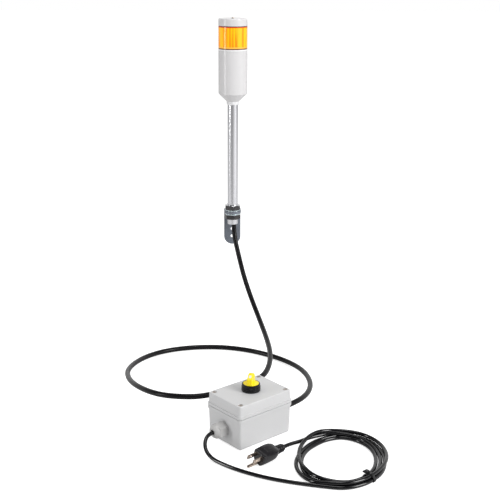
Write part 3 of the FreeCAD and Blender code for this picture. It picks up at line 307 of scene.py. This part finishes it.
def make_materials():
    """Every material, by the name that NODE_FINISH uses."""
    made = {}
    made["head"] = finish(
        "ivory_grey_abs", (0.69, 0.68, 0.685), rough=(0.17, 0.20), grain=1400, depth=0.004,
        vary=0.012, edge=0.5, patch=30)
    made["white_seal"] = finish(
        "white_elastomer", (0.88, 0.88, 0.88), rough=(0.4, 0.5), depth=0.01, vary=0.02)
    made["dark_seal"] = finish(
        "dark_elastomer", (0.03, 0.035, 0.045), rough=(0.45, 0.6), depth=0.02, vary=0.1)
    low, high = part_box("lens")
    made["amber"] = amber(low[2], high[2], [(low[i] + high[i]) / 2 for i in (0, 1)])
    made["board"] = finish(
        "solder_mask_board", (0.75, 0.74, 0.70), rough=(0.35, 0.45), grain=700, depth=0.02,
        vary=0.06)
    made["led"] = finish(
        "led_silicone", (0.95, 0.80, 0.30), rough=(0.25, 0.35), grain=2500, depth=0.01, vary=0.05)
    made["pole"] = finish(
        "drawn_aluminium", (0.80, 0.80, 0.83), rough=(0.17, 0.21), metallic=1, grain=900,
        depth=0, vary=0.02, stretch=(1, 1, 0.001), edge=0, patch=60)
    made["collar"] = finish(
        "collar_plastic", (0.82, 0.82, 0.83), rough=(0.3, 0.4), depth=0.01, vary=0.03)
    # The nut's upward faces are painted lighter: a painted highlight for the light that falls on
    # top.
    made["nut"] = finish(
        "steel_nut", (0.085, 0.083, 0.085), rough=(0.28, 0.42), metallic=1, grain=700, depth=0.02,
        vary=0.15, edge=0.45, patch=120, painted_top_light=(0.80, 0.81, 0.82))
    made["zinc"] = finish(
        "zinc_plate", (0.78, 0.88, 0.95), rough=(0.14, 0.26), metallic=1, grain=500, depth=0.02,
        vary=0.14, edge=0.2, patch=160)
    made["bracket"] = finish(
        "zinc_bracket", (0.205, 0.225, 0.265), rough=(0.42, 0.55), metallic=0.55, grain=700,
        depth=0.012, vary=0.10, stretch=(1, 1, 0.12), edge=0.5, patch=90)
    made["screw"] = finish(
        "screw_steel", (0.60, 0.53, 0.47), rough=(0.3, 0.42), metallic=1, grain=900, depth=0.01,
        vary=0.1)
    made["box"] = finish(
        "moulded_grey", (0.64, 0.64, 0.645), rough=(0.40, 0.48), grain=1600, depth=0.012,
        vary=0.012, edge=0.7, patch=25)
    made["black"] = finish(
        "bezel_black", (0.004, 0.004, 0.005), rough=(0.24, 0.34), grain=1200, depth=0.01,
        vary=0.15, edge=0.3, specular=0.3)
    made["yellow"] = finish(
        "knob_yellow", (1.0, 0.79, 0.0), rough=(0.30, 0.38), grain=1200, depth=0.008,
        vary=0.02, edge=0.5)
    made["white"] = finish(
        "pointer_white", (0.80, 0.80, 0.76), rough=(0.4, 0.5), depth=0.01, vary=0.03)
    made["gland"] = finish(
        "gland_nylon", (0.50, 0.495, 0.49), rough=(0.2, 0.26), grain=1300, depth=0.004,
        vary=0.015, edge=0.12)
    made["thick_cord"] = finish(
        "cord_rubber", (0.0045, 0.004, 0.005), rough=(0.26, 0.36), grain=700, depth=0.04,
        vary=0.2, edge=0, dust=(0.016, 0.015, 0.018), specular=0.25, patch=60)
    made["thin_cord"] = finish(
        "cord_vinyl", (0.003, 0.003, 0.004), rough=(0.10, 0.15), grain=900, depth=0.012,
        vary=0.15, edge=0, specular=0.5, coat=0.2, patch=60)
    made["plug"] = finish(
        "plug_vinyl", (0.013, 0.012, 0.014), rough=(0.18, 0.26), grain=1500, depth=0.01,
        vary=0.15, edge=0.25, specular=0.5, dust=(0.012, 0.012, 0.014))
    made["blade"] = finish(
        "nickel_brass", (0.64, 0.53, 0.45), rough=(0.12, 0.22), metallic=1, grain=700, depth=0.01,
        vary=0.12, edge=0.2, patch=150)
    made["tie"] = finish(
        "tie_nylon", (0.007, 0.007, 0.008), rough=(0.25, 0.35), depth=0.01, vary=0.1)
    made["inner"] = finish(
        "dark_moulding", (0.05, 0.05, 0.055), rough=(0.45, 0.6), depth=0.02, vary=0.1)
    made["brass"] = finish(
        "terminal_brass", (0.70, 0.52, 0.25), rough=(0.25, 0.35), metallic=1, depth=0.01,
        vary=0.08)
    return made


NODE_FINISH = {
    "cap": "head", "body_housing": "head", "base_cone": "head", "cap_gasket": "dark_seal",
    "lens": "amber", "lens_seal": "white_seal", "led_board": "board", "led_chips": "led",
    "driver_board": "board", "tie_screw": "screw", "pole_collar": "collar", "pole": "pole",
    "upper_nut": "nut", "lower_nut": "nut", "upper_flat_washer": "zinc",
    "lower_flat_washer": "zinc", "upper_tooth_washer": "zinc", "lower_tooth_washer": "zinc",
    "l_bracket": "bracket", "pole_cord": "thick_cord", "box_base": "box", "box_lid": "box",
    "lid_gasket": "dark_seal", "lid_screws": "screw", "selector_bezel": "black",
    "selector_seal": "dark_seal", "selector_ring_nut": "black", "selector_knob": "yellow",
    "knob_pointer": "white", "contact_block": "inner", "contact_screws": "brass",
    "terminal_strip": "inner", "mains_gland_body": "gland", "mains_gland_nut": "gland",
    "mains_gland_seal": "dark_seal", "mains_gland_locknut": "gland",
    "mains_cord_inside": "thin_cord", "light_gland_body": "gland", "light_gland_nut": "gland",
    "light_gland_seal": "dark_seal", "light_gland_locknut": "gland",
    "light_cord_inside": "thick_cord", "plug_blades": "blade", "plug_ground_pin": "blade",
}


# ---------------------------------------------------------------- cords

def cord_curve(name, points, diameter, material, node):
    """A round cord as one NURBS spline with the route's points as its control points.

    The bevel depth is 1 and each point's radius is the cord's own, so that bounds stay true.
    """
    curve = bpy.data.curves.new(name, "CURVE")
    curve.dimensions = "3D"
    curve.bevel_depth = 1
    curve.bevel_resolution = 6
    curve.resolution_u = 10
    curve.use_fill_caps = True
    spline = curve.splines.new("NURBS")
    spline.points.add(len(points) - 1)
    for control, point in zip(spline.points, points):
        control.co = (point[0] * MM, point[1] * MM, point[2] * MM, 1)
        control.radius = diameter / 2 * MM
    spline.order_u = 3
    spline.use_endpoint_u = True
    curve.materials.append(material)
    piece = bpy.data.objects.new(name, curve)
    bpy.context.scene.collection.objects.link(piece)
    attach(piece, "fixed_parts")
    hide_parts(*node)
    return piece


def spline_points(piece):
    """Points along a cord's own line, in millimetres."""
    depth = piece.data.bevel_depth
    piece.data.bevel_depth = 0
    line = bpy.data.meshes.new_from_object(piece)
    piece.data.bevel_depth = depth
    points = [vertex.co / MM for vertex in line.vertices]
    bpy.data.meshes.remove(line)
    return points


def length_of(points):
    """Length along points, in metres."""
    return sum((b - a).length for a, b in zip(points, points[1:])) * MM


REST_THICK, REST_THIN = FLOOR + THICK / 2, FLOOR + THIN / 2
LIGHT_ROUTE = [
    (2.1, -26.9, 49),
    (2.1, -26.9, 27),
    (3.3, -31.9, -1),
    (10.6, -48, -32),
    (19.6, -73, -67),
    (31.8, -112, -98),
    (45, -165, -122),
    (55.6, -235, -136),
    (59, -296, -141),
    (52.5, -347, -145),
    (38.5, -385, -147),
    (9, -407, -148.5),
    (-25, -430, -150.2),
    (-62, -450, -150.5),
    (-100, -449, -150.8),
    (-138, -430, -154),
    (-172, -380, -162),
    (-192, -310, -177),
    (-197, -240, -190),
    (-176, -170, -199),
    (-136, -124, REST_THICK),
    (-80, -107, REST_THICK),
    (-18, -108, REST_THICK),
    (42, -132, REST_THICK),
    (92.4, -176, REST_THICK + 0.5),
    (123, -235, -198.5),
    (131, -302, -193.5),
    (120.6, -358, -188.4),
    local(BOX_AT, BOX_YAW, GLAND_REACH + 30, 0, 23),
    local(BOX_AT, BOX_YAW, GLAND_REACH, 0, 23),
]
MAINS_LEAD = [
    local(BOX_AT, BOX_YAW, -GLAND_REACH, 0, 25),
    (-53, -518.6, -183.6),
    (-58.4, -529, -189),
    (-57.6, -543, -197.4),
    (-48, -558, -203.8),
    (-31, -574.5, REST_THIN),
    (-10, -592, REST_THIN),
    (14, -607.5, REST_THIN),
    (42, -622, REST_THIN),
    (80, -636, REST_THIN),
]
MAINS_TAIL = [
    (90.5, -516.6, -198.8),
    tuple(on_plug(PLUG_LENGTH + 16, 0, PLUG_AXIS) / MM),
    tuple(on_plug(PLUG_LENGTH, 0, PLUG_AXIS) / MM),
]
COIL_AT, COIL_TURN = (146.6, -567.0), math.radians(-19)
COIL_MEAN = (62.5, 79.3)
COIL_STEP = 15  # degrees between the points of the coil's route
# The cord's lay in the coil, turn by turn: angle in degrees, way out from the mean line, height.
COIL_LAY = [
    [(-88, 5.0, 3), (-60, 5.0, 3), (-32, 6.0, 3), (-10, 6.8, 3), (10, 5.8, 3), (30, 4.2, 3),
     (60, 4.2, 3), (90, 4.6, 3), (110, 2.0, 3), (130, -1.6, 3), (150, -2.8, 3), (170, -0.9, 3),
     (190, 2.6, 3), (205, 4.6, 3), (225, 5.0, 3), (245, 5.0, 3), (260, 2.5, 3.4)],
    [(-88, 0.5, 5.5), (-60, 2.4, 8.2), (-32, 3.0, 8.4), (-10, 5.6, 8.6), (10, 7.6, 8.2),
     (30, 8.4, 7.8), (45, 9.2, 7.4), (60, 8.6, 7.6), (90, 7.0, 6.8), (120, 6.8, 8.6),
     (140, 6.4, 11.5), (155, 5.2, 12.0), (170, 3.0, 10.5), (185, 0.5, 9.2), (200, -2.0, 8.6),
     (225, -4.2, 8.6), (245, -4.8, 8.4)],
    [(-88, -5.0, 7.5), (-60, -5.6, 4.0), (-32, -6.0, 3), (-10, -7.2, 3), (15, -8.2, 3),
     (30, -8.0, 3), (60, -6.0, 3), (90, -4.2, 3), (120, -4.6, 3), (150, -5.8, 3),
     (180, -5.6, 3), (205, -4.6, 3), (225, -3.0, 3), (245, -1.6, 3)],
    [(-88, -0.6, 3), (-60, 0.2, 3), (-32, 0.0, 3), (-10, -0.6, 3), (15, -0.6, 3), (30, -0.4, 3),
     (60, -1.0, 3), (90, 0.0, 6.0), (110, 2.0, 8.4), (130, 4.6, 8.6), (146, 7.0, 8.8)],
]


def coil_spot(angle, out, rise):
    """A point of the coil at an angle, a way out from its mean line and a height."""
    x = (COIL_MEAN[0] + out) * math.cos(angle)
    y = (COIL_MEAN[1] + out) * math.sin(angle)
    c, s = math.cos(COIL_TURN), math.sin(COIL_TURN)
    return Vector((COIL_AT[0] + x * c - y * s, COIL_AT[1] + x * s + y * c, FLOOR + rise))


def coil_route():
    """The coil's turns, laid on and beside each other; push_apart() pushes them clear of one
    another afterwards.
    """
    keys = [(turn * 360 + angle, out, rise)
            for turn, lay in enumerate(COIL_LAY) for angle, out, rise in lay]
    points = []
    count = round((keys[-1][0] - keys[0][0]) / COIL_STEP)
    for i in range(count + 1):
        angle = keys[0][0] + (keys[-1][0] - keys[0][0]) * i / count
        after = next((k for k in range(1, len(keys)) if keys[k][0] >= angle - 1e-6), len(keys) - 1)
        a, b = keys[after - 1], keys[after]
        share = (angle - a[0]) / (b[0] - a[0])
        share = share * share * (3 - 2 * share) * 0.5 + share * 0.5
        points.append(coil_spot(
            math.radians(angle), a[1] + (b[1] - a[1]) * share, a[2] + (b[2] - a[2]) * share))
    return points


def nearest(a, b, c, d):
    """Shares along a to b and c to d at which the two runs come nearest."""
    u, v, w = b - a, d - c, a - c
    uu, uv, vv, uw, vw = u.dot(u), u.dot(v), v.dot(v), u.dot(w), v.dot(w)
    den = uu * vv - uv * uv
    s = min(max((uv * vw - vv * uw) / den, 0), 1) if den > 1e-6 else 0.5
    t = min(max((uv * s + vw) / vv, 0), 1)
    s = min(max((uv * t - uw) / uu, 0), 1)
    return s, t


PUSH_ROUNDS = 40
PUSH_REACH = 22.0
PUSH_PLAY = 0.1
PUSH_SHARE, PUSH_LIFT = 0.28, 1.2
SMOOTH_SHARE, SAG = 0.12, 0.05


def push_apart(points):
    """Moves runs of the cord that lie in each other apart, and keeps all of it on the floor."""
    count = len(points)
    for _ in range(PUSH_ROUNDS):
        moves = [Vector() for _ in points]
        for i in range(count - 1):
            middle = (points[i] + points[i + 1]) / 2
            for j in range(i + 3, count - 1):
                if (abs(points[j].x - middle.x) > PUSH_REACH
                        or abs(points[j].y - middle.y) > PUSH_REACH):
                    continue
                s, t = nearest(points[i], points[i + 1], points[j], points[j + 1])
                gap = points[i].lerp(points[i + 1], s) - points[j].lerp(points[j + 1], t)
                short = THIN + PUSH_PLAY - gap.length
                if short <= 0:
                    continue
                way = gap.normalized() if gap.length > 0.05 else Vector((0, 0, 1))
                way.z = way.z * PUSH_LIFT
                push = way * short * PUSH_SHARE
                moves[i] += push * (1 - s)
                moves[i + 1] += push * s
                moves[j] -= push * (1 - t)
                moves[j + 1] -= push * t
        for i in range(1, count - 1):
            smooth = (points[i - 1] + points[i + 1]) / 2 - points[i]
            moves[i].z += smooth.z * SMOOTH_SHARE - SAG
            points[i] = points[i] + moves[i]
            points[i].z = max(points[i].z, REST_THIN)
    return points


def build_cords(finishes):
    """The thick cord from the pole to the box, and the mains cord with its coil.
    """
    light = cord_curve("light_cord_jacket", LIGHT_ROUTE, THICK, finishes["thick_cord"],
                       ["light_cord"])
    coil = push_apart(coil_route())
    route = [Vector(p) for p in MAINS_LEAD] + coil + [Vector(p) for p in MAINS_TAIL]
    mains = cord_curve("mains_cord_jacket", route, THIN, finishes["thin_cord"],
                       ["mains_cord_lead", "mains_cord_coil", "mains_cord_tail"])
    return light, mains


# ---------------------------------------------------------------- cable tie

TIE_ANGLE = math.radians(-32)
TIE_HALF_WIDTH, TIE_THICK = 2.3, 1.1
# Half the span in which the strands that the strap holds are looked for.
TIE_SPAN = 30
# The strap's own path round one strand: its points, and half its width and height.
RIM_POINTS, RIM_ACROSS, RIM_UP = 16, 3.15, 3.05
TIE_CLEAR = 0.05


def build_tie(mains, finishes):
    """Strap drawn round the coil's strands, with its head on the inner side."""
    middle = coil_spot(TIE_ANGLE, 0, -FLOOR)
    along = (coil_spot(TIE_ANGLE + 0.01, 0, -FLOOR) - middle).normalized()
    across = along.cross(Vector((0, 0, 1))).normalized()
    line = spline_points(mains)
    strands = []
    for a, b in zip(line, line[1:]):
        before, after = (a - middle).dot(along), (b - middle).dot(along)
        if before * after > 0 or before == after:
            continue
        hit = a.lerp(b, before / (before - after))
        if abs((hit - middle).dot(across)) < TIE_SPAN:
            strands.append(((hit - middle).dot(across), hit.z))
    rim = []
    for x, z in strands:
        for i in range(RIM_POINTS):
            turn = math.tau * i / RIM_POINTS
            rim.append(Vector((x + RIM_ACROSS * math.cos(turn), z + RIM_UP * math.sin(turn))))
    hull = [rim[i] for i in convex_hull_2d(rim)]
    inner, outer = [], []
    count = len(hull)
    for i in range(count):
        tangent = (hull[(i + 1) % count] - hull[i - 1]).normalized()
        normal = Vector((tangent.y, -tangent.x))
        inner.append(hull[i])
        outer.append(hull[i] + normal * TIE_THICK)
    low = FLOOR + TIE_CLEAR
    half = TIE_HALF_WIDTH
    rings = []
    for point, edge in zip(inner, outer):
        ring = []
        for flat, side in ((point, -half), (edge, -half), (edge, half), (point, half)):
            place = middle + across * flat.x + along * side
            ring.append(Vector((place.x, place.y, max(flat.y, low))) * MM)
        rings.append(ring)
    rings.append(rings[0])
    verts, faces = loft(rings, closed_ends=False)
    strap = mesh_piece("tie_strap", verts, faces, finishes["tie"])
    bevel(strap, 0.25, 2)
    top = max(z for _, z in strands) + 3.3
    inmost = min(x for x, _ in strands)
    verts, faces = [], []
    spots = [
        (inmost + 1.5, top + 0.4, 0.2, (3.6, 3.4, 2.3)),
        (inmost - 3.4, top - 0.8, -0.5, (1.4, 2.2, 1.1)),
    ]
    for x, z, lean, size in spots:
        first = len(verts)
        for sx, sy, sz in ((a, b, c) for a in (-1, 1) for b in (-1, 1) for c in (-1, 1)):
            taper = 0.82 if sz > 0 else 1
            spot = middle + across * (x + sx * size[0] * taper) + along * (
                sy * size[1] * taper + lean)
            verts.append(Vector((spot.x, spot.y, z + sz * size[2])) * MM)
        for a, b, c, d in ((0, 1, 3, 2), (4, 6, 7, 5), (0, 4, 5, 1), (2, 3, 7, 6), (0, 2, 6, 4),
                           (1, 5, 7, 3)):
            faces.append((first + a, first + b, first + c, first + d))
    head = mesh_piece("tie_head", verts, faces, finishes["tie"])
    bevel(head, 0.6, 3)
    for piece in (strap, head):
        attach(piece, "fixed_parts")
        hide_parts("cable_tie")
    return strap, head


# ---------------------------------------------------------------- mains plug

def plug_ring(x, width, height, base, foot, crown=0.0):
    """One section of the plug's moulding, from its foot round over the top."""
    half, low = width / 2, foot / 2
    top = base + height
    corner = min(1.5, width * 0.08)
    shape = [
        (-low, base), (-low * 0.5, base), (0, base), (low * 0.5, base), (low, base),
        (low + (half - low) * 0.62, base + height * 0.20), (half - 0.3, base + height * 0.44),
        (half, base + height * 0.55), (half, top - corner * 1.1),
        (half - corner * 0.35, top - 0.35),
        (half - corner, top), (half * 0.4, top + crown), (0, top + crown * 1.2),
        (-half * 0.4, top + crown), (-(half - corner), top), (-(half - corner * 0.35), top - 0.35),
        (-half, top - corner * 1.1), (-half, base + height * 0.55),
        (-(half - 0.3), base + height * 0.44),
        (-(low + (half - low) * 0.62), base + height * 0.20),
    ]
    return [on_plug(x, y, z) for y, z in shape]


NECK_RIBS, RIB_PITCH = 3, 4.6


def build_plug(finishes):
    """Moulded plug body with finger bars on top, and its ribbed neck."""
    rings = [
        plug_ring(0.0, 21.8, 19.6, 0.8, 8.6),
        plug_ring(0.5, 23.6, 20.6, 0.2, 9.6),
        plug_ring(1.6, 24.2, 21.0, 0.0, 10.0),
        plug_ring(4.6, 24.6, 21.0, 0.0, 10.0, 0.1),
        plug_ring(5.1, 23.8, 20.6, 0.25, 9.6, 0.1),
        plug_ring(5.6, 24.6, 21.0, 0.05, 10.0, 0.1),
        plug_ring(14.0, 25.3, 21.1, 0.4, 10.0, 0.1),
        plug_ring(22.0, 25.0, 20.8, 0.9, 9.8, 0.1),
        plug_ring(27.5, 23.8, 20.2, 1.4, 9.6, 0.1),
        plug_ring(33.2, 18.2, 18.4, 2.4, 9.0, 0.1),
        plug_ring(34.4, 16.6, 17.2, 2.9, 8.2),
        plug_ring(34.8, 15.2, 15.8, 3.6, 7.4),
    ]
    verts, faces = loft(rings)
    shell = mesh_piece("plug_shell", verts, faces, finishes["plug"])
    bevel(shell, 0.5, 2, 28)
    verts, faces = [], []
    for x, top, length in ((13.0, 21.2, 10.4), (20.6, 21.1, 9.8)):
        first = len(verts)
        for dx, dy, z in ((-1.0, -1, top - 1.2), (1.0, -1, top - 1.2), (1.0, 1, top - 1.2),
                          (-1.0, 1, top - 1.2), (-0.7, -0.94, top + 1.3), (0.7, -0.94, top + 1.3),
                          (0.7, 0.94, top + 1.3), (-0.7, 0.94, top + 1.3)):
            verts.append(on_plug(x + dx, dy * length / 2, z))
        for a, b, c, d in ((0, 3, 2, 1), (4, 5, 6, 7), (0, 1, 5, 4), (1, 2, 6, 5), (2, 3, 7, 6),
                           (3, 0, 4, 7)):
            faces.append((first + a, first + b, first + c, first + d))
    bars = mesh_piece("plug_finger_bars", verts, faces, finishes["plug"])
    bevel(bars, 0.3, 2)
    place = (PLUG_FRAME @ Matrix.Translation(mm(0, 0, PLUG_AXIS))
             @ Matrix.Rotation(math.radians(90), 4, "Y"))
    profile = [(0.0, 33.0), (6.6, 33.0), (6.6, 35.0), (5.6, 36.0), (4.9, 36.6)]
    start = 37.0
    for rib in range(NECK_RIBS):
        wide = 7.0 - rib * 0.25
        profile += [
            (3.9, start), (wide - 0.3, start + 0.5), (wide, start + 0.9),
            (wide, start + 2.3), (wide - 0.3, start + 2.7), (3.9, start + 3.1),
        ]
        start += RIB_PITCH
    profile += [(4.6, start), (5.0, start + 0.3), (4.8, start + 0.8), (3.05, start + 1.0),
                (0.0, start + 1.0)]
    verts, faces = lathe(profile, place, 40)
    neck = mesh_piece("plug_neck", verts, faces, finishes["plug"])
    for piece in (shell, bars, neck):
        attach(piece, "fixed_parts")
        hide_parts("plug_body")
    return shell, bars, neck


# ---------------------------------------------------------------- stage, light and camera

CAMERA_AT = (-59.9, -1928.2, 531.6)
CAMERA_HEADING, CAMERA_PITCH, CAMERA_ROLL = 2.842, 16.445, 0.381
CAMERA_LENS, CAMERA_SENSOR, CAMERA_FAR = 72, 36, 50

# Metres. The floor's front edge keeps it from showing in the pole.
FLOOR_FRONT, FLOOR_REACH, FLOOR_DROP = -1.0, 12, 0.0004
# The floor's own grey, and what only the camera sees on top of it.
FLOOR_GREY, FLOOR_SEEN = 0.74, 0.68
# How strongly the white surroundings light the object.
SKY_DIFFUSE = 0.53
# Where gloss sees the surroundings darker: direction, start and end of the fall, strength.
DARK_SIDES = (
    ((-0.15, -0.40, 0.90), 0.0, 0.40, 0.12),
    ((-0.32, -0.90, -0.27), 0.74, 0.97, 0.42),
)
# Name, place, aim and size in metres, and power in watts.
LAMPS = (
    ("right_box", (2.3, -1.9, 1.25), (0, -0.25, 0.05), (1.35, 1.8), 66),
    ("left_strip", (-2.4, -1.05, 0.6), (0, -0.3, 0.1), (0.34, 1.6), 15),
    ("top_box", (0.1, -0.5, 2.4), (0, -0.35, 0.0), (0.5, 1.5), 12),
)


def set_camera():
    """Camera at the photograph's place and angle."""
    heading, pitch, roll = (
        math.radians(a) for a in (CAMERA_HEADING, CAMERA_PITCH, CAMERA_ROLL))
    level = Vector((math.sin(heading), math.cos(heading), 0))
    right = Vector((math.cos(heading), -math.sin(heading), 0))
    look = level * math.cos(pitch) - Vector((0, 0, 1)) * math.sin(pitch)
    up = level * math.sin(pitch) + Vector((0, 0, 1)) * math.cos(pitch)
    side = right * math.cos(roll) + up * math.sin(roll)
    top = up * math.cos(roll) - right * math.sin(roll)
    turn = Matrix((side, top, -look)).transposed().to_4x4()
    data = bpy.data.cameras.new("view")
    data.lens = CAMERA_LENS
    data.sensor_width = CAMERA_SENSOR
    data.clip_end = CAMERA_FAR
    camera = bpy.data.objects.new("view", data)
    camera.matrix_world = Matrix.Translation(mm(*CAMERA_AT)) @ turn
    bpy.context.scene.collection.objects.link(camera)
    bpy.context.scene.camera = camera


def lamp(name, place, aim, size, power):
    """A soft white rectangular lamp that faces a point."""
    data = bpy.data.lights.new(name, "AREA")
    data.shape = "RECTANGLE"
    data.size, data.size_y = size
    data.energy = power
    item = bpy.data.objects.new(name, data)
    item.location = place
    item.rotation_euler = (Vector(aim) - Vector(place)).to_track_quat("-Z", "Y").to_euler()
    bpy.context.scene.collection.objects.link(item)


def set_stage():
    """Pale floor that keeps the shadows, white surroundings, and soft lamps."""
    n = Nodes("stage_white")
    diffuse = n.add("ShaderNodeBsdfDiffuse")
    diffuse.inputs["Color"].default_value = (FLOOR_GREY, FLOOR_GREY, FLOOR_GREY, 1)
    seen = n.add("ShaderNodeEmission")
    rays = n.add("ShaderNodeLightPath")
    strength = n.add("ShaderNodeMath", operation="MULTIPLY")
    n.link(rays.outputs["Is Camera Ray"], strength.inputs[0])
    strength.inputs[1].default_value = FLOOR_SEEN
    n.link(strength.outputs[0], seen.inputs["Strength"])
    both = n.add("ShaderNodeAddShader")
    n.link(diffuse.outputs[0], both.inputs[0])
    n.link(seen.outputs[0], both.inputs[1])
    n.link(both.outputs[0], n.output.inputs["Surface"])
    far, front, z = FLOOR_REACH, FLOOR_FRONT, FLOOR * MM - FLOOR_DROP
    verts = [(-far, front, z), (far, front, z), (far, far, z), (-far, far, z)]
    floor = mesh_piece("stage_floor", verts, [(0, 1, 2, 3)], n.material)
    world = bpy.data.worlds.new("studio")
    world.use_nodes = True
    bpy.context.scene.world = world
    tree = world.node_tree
    tree.nodes.clear()
    out = tree.nodes.new("ShaderNodeOutputWorld")
    path = tree.nodes.new("ShaderNodeLightPath")
    sky = tree.nodes.new("ShaderNodeBackground")
    sky.inputs["Color"].default_value = (1, 1, 1, 1)
    way = tree.nodes.new("ShaderNodeTexCoord")
    studio = tree.nodes.new("ShaderNodeMath")
    studio.operation = "MINIMUM"
    for side, (toward, start, end, dark) in enumerate(DARK_SIDES):
        facing = tree.nodes.new("ShaderNodeVectorMath")
        facing.operation = "DOT_PRODUCT"
        tree.links.new(way.outputs["Generated"], facing.inputs[0])
        facing.inputs[1].default_value = toward
        fall = tree.nodes.new("ShaderNodeMapRange")
        fall.inputs["From Min"].default_value = start
        fall.inputs["From Max"].default_value = end
        fall.inputs["To Min"].default_value = 1.0
        fall.inputs["To Max"].default_value = dark
        tree.links.new(facing.outputs["Value"], fall.inputs["Value"])
        tree.links.new(fall.outputs["Result"], studio.inputs[side])
    mixes = []
    for kind in ("Is Glossy Ray", "Is Transmission Ray", "Is Camera Ray"):
        mix = tree.nodes.new("ShaderNodeMix")
        tree.links.new(path.outputs[kind], mix.inputs["Factor"])
        mix.inputs["B"].default_value = 1.0
        if mixes:
            tree.links.new(mixes[-1].outputs["Result"], mix.inputs["A"])
        mixes.append(mix)
    mixes[0].inputs["A"].default_value = SKY_DIFFUSE
    tree.links.new(studio.outputs[0], mixes[0].inputs["B"])
    tree.links.new(mixes[-1].outputs["Result"], sky.inputs["Strength"])
    tree.links.new(sky.outputs[0], out.inputs["Surface"])
    for name, place, aim, size, power in LAMPS:
        lamp(name, place, aim, size, power)


# ---------------------------------------------------------------- build

def main():
    """Camera, finishes and cords, then the CAD pieces' materials, the trim and the stage."""
    set_camera()
    finishes = make_materials()
    light, mains = build_cords(finishes)
    for node, name in NODE_FINISH.items():
        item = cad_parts[node]
        for slot in item.material_slots:
            slot.material = finishes[name]
        if not item.material_slots:
            item.data.materials.append(finishes[name])
    tie = build_tie(mains, finishes)
    plug = build_plug(finishes)
    mains_length = length_of(spline_points(mains))
    print("light cord %.3f m, mains cord %.3f m" % (length_of(spline_points(light)), mains_length))
    set_stage()
    bpy.context.scene.view_settings.view_transform = "Standard"
    bpy.context.view_layer.update()


main()
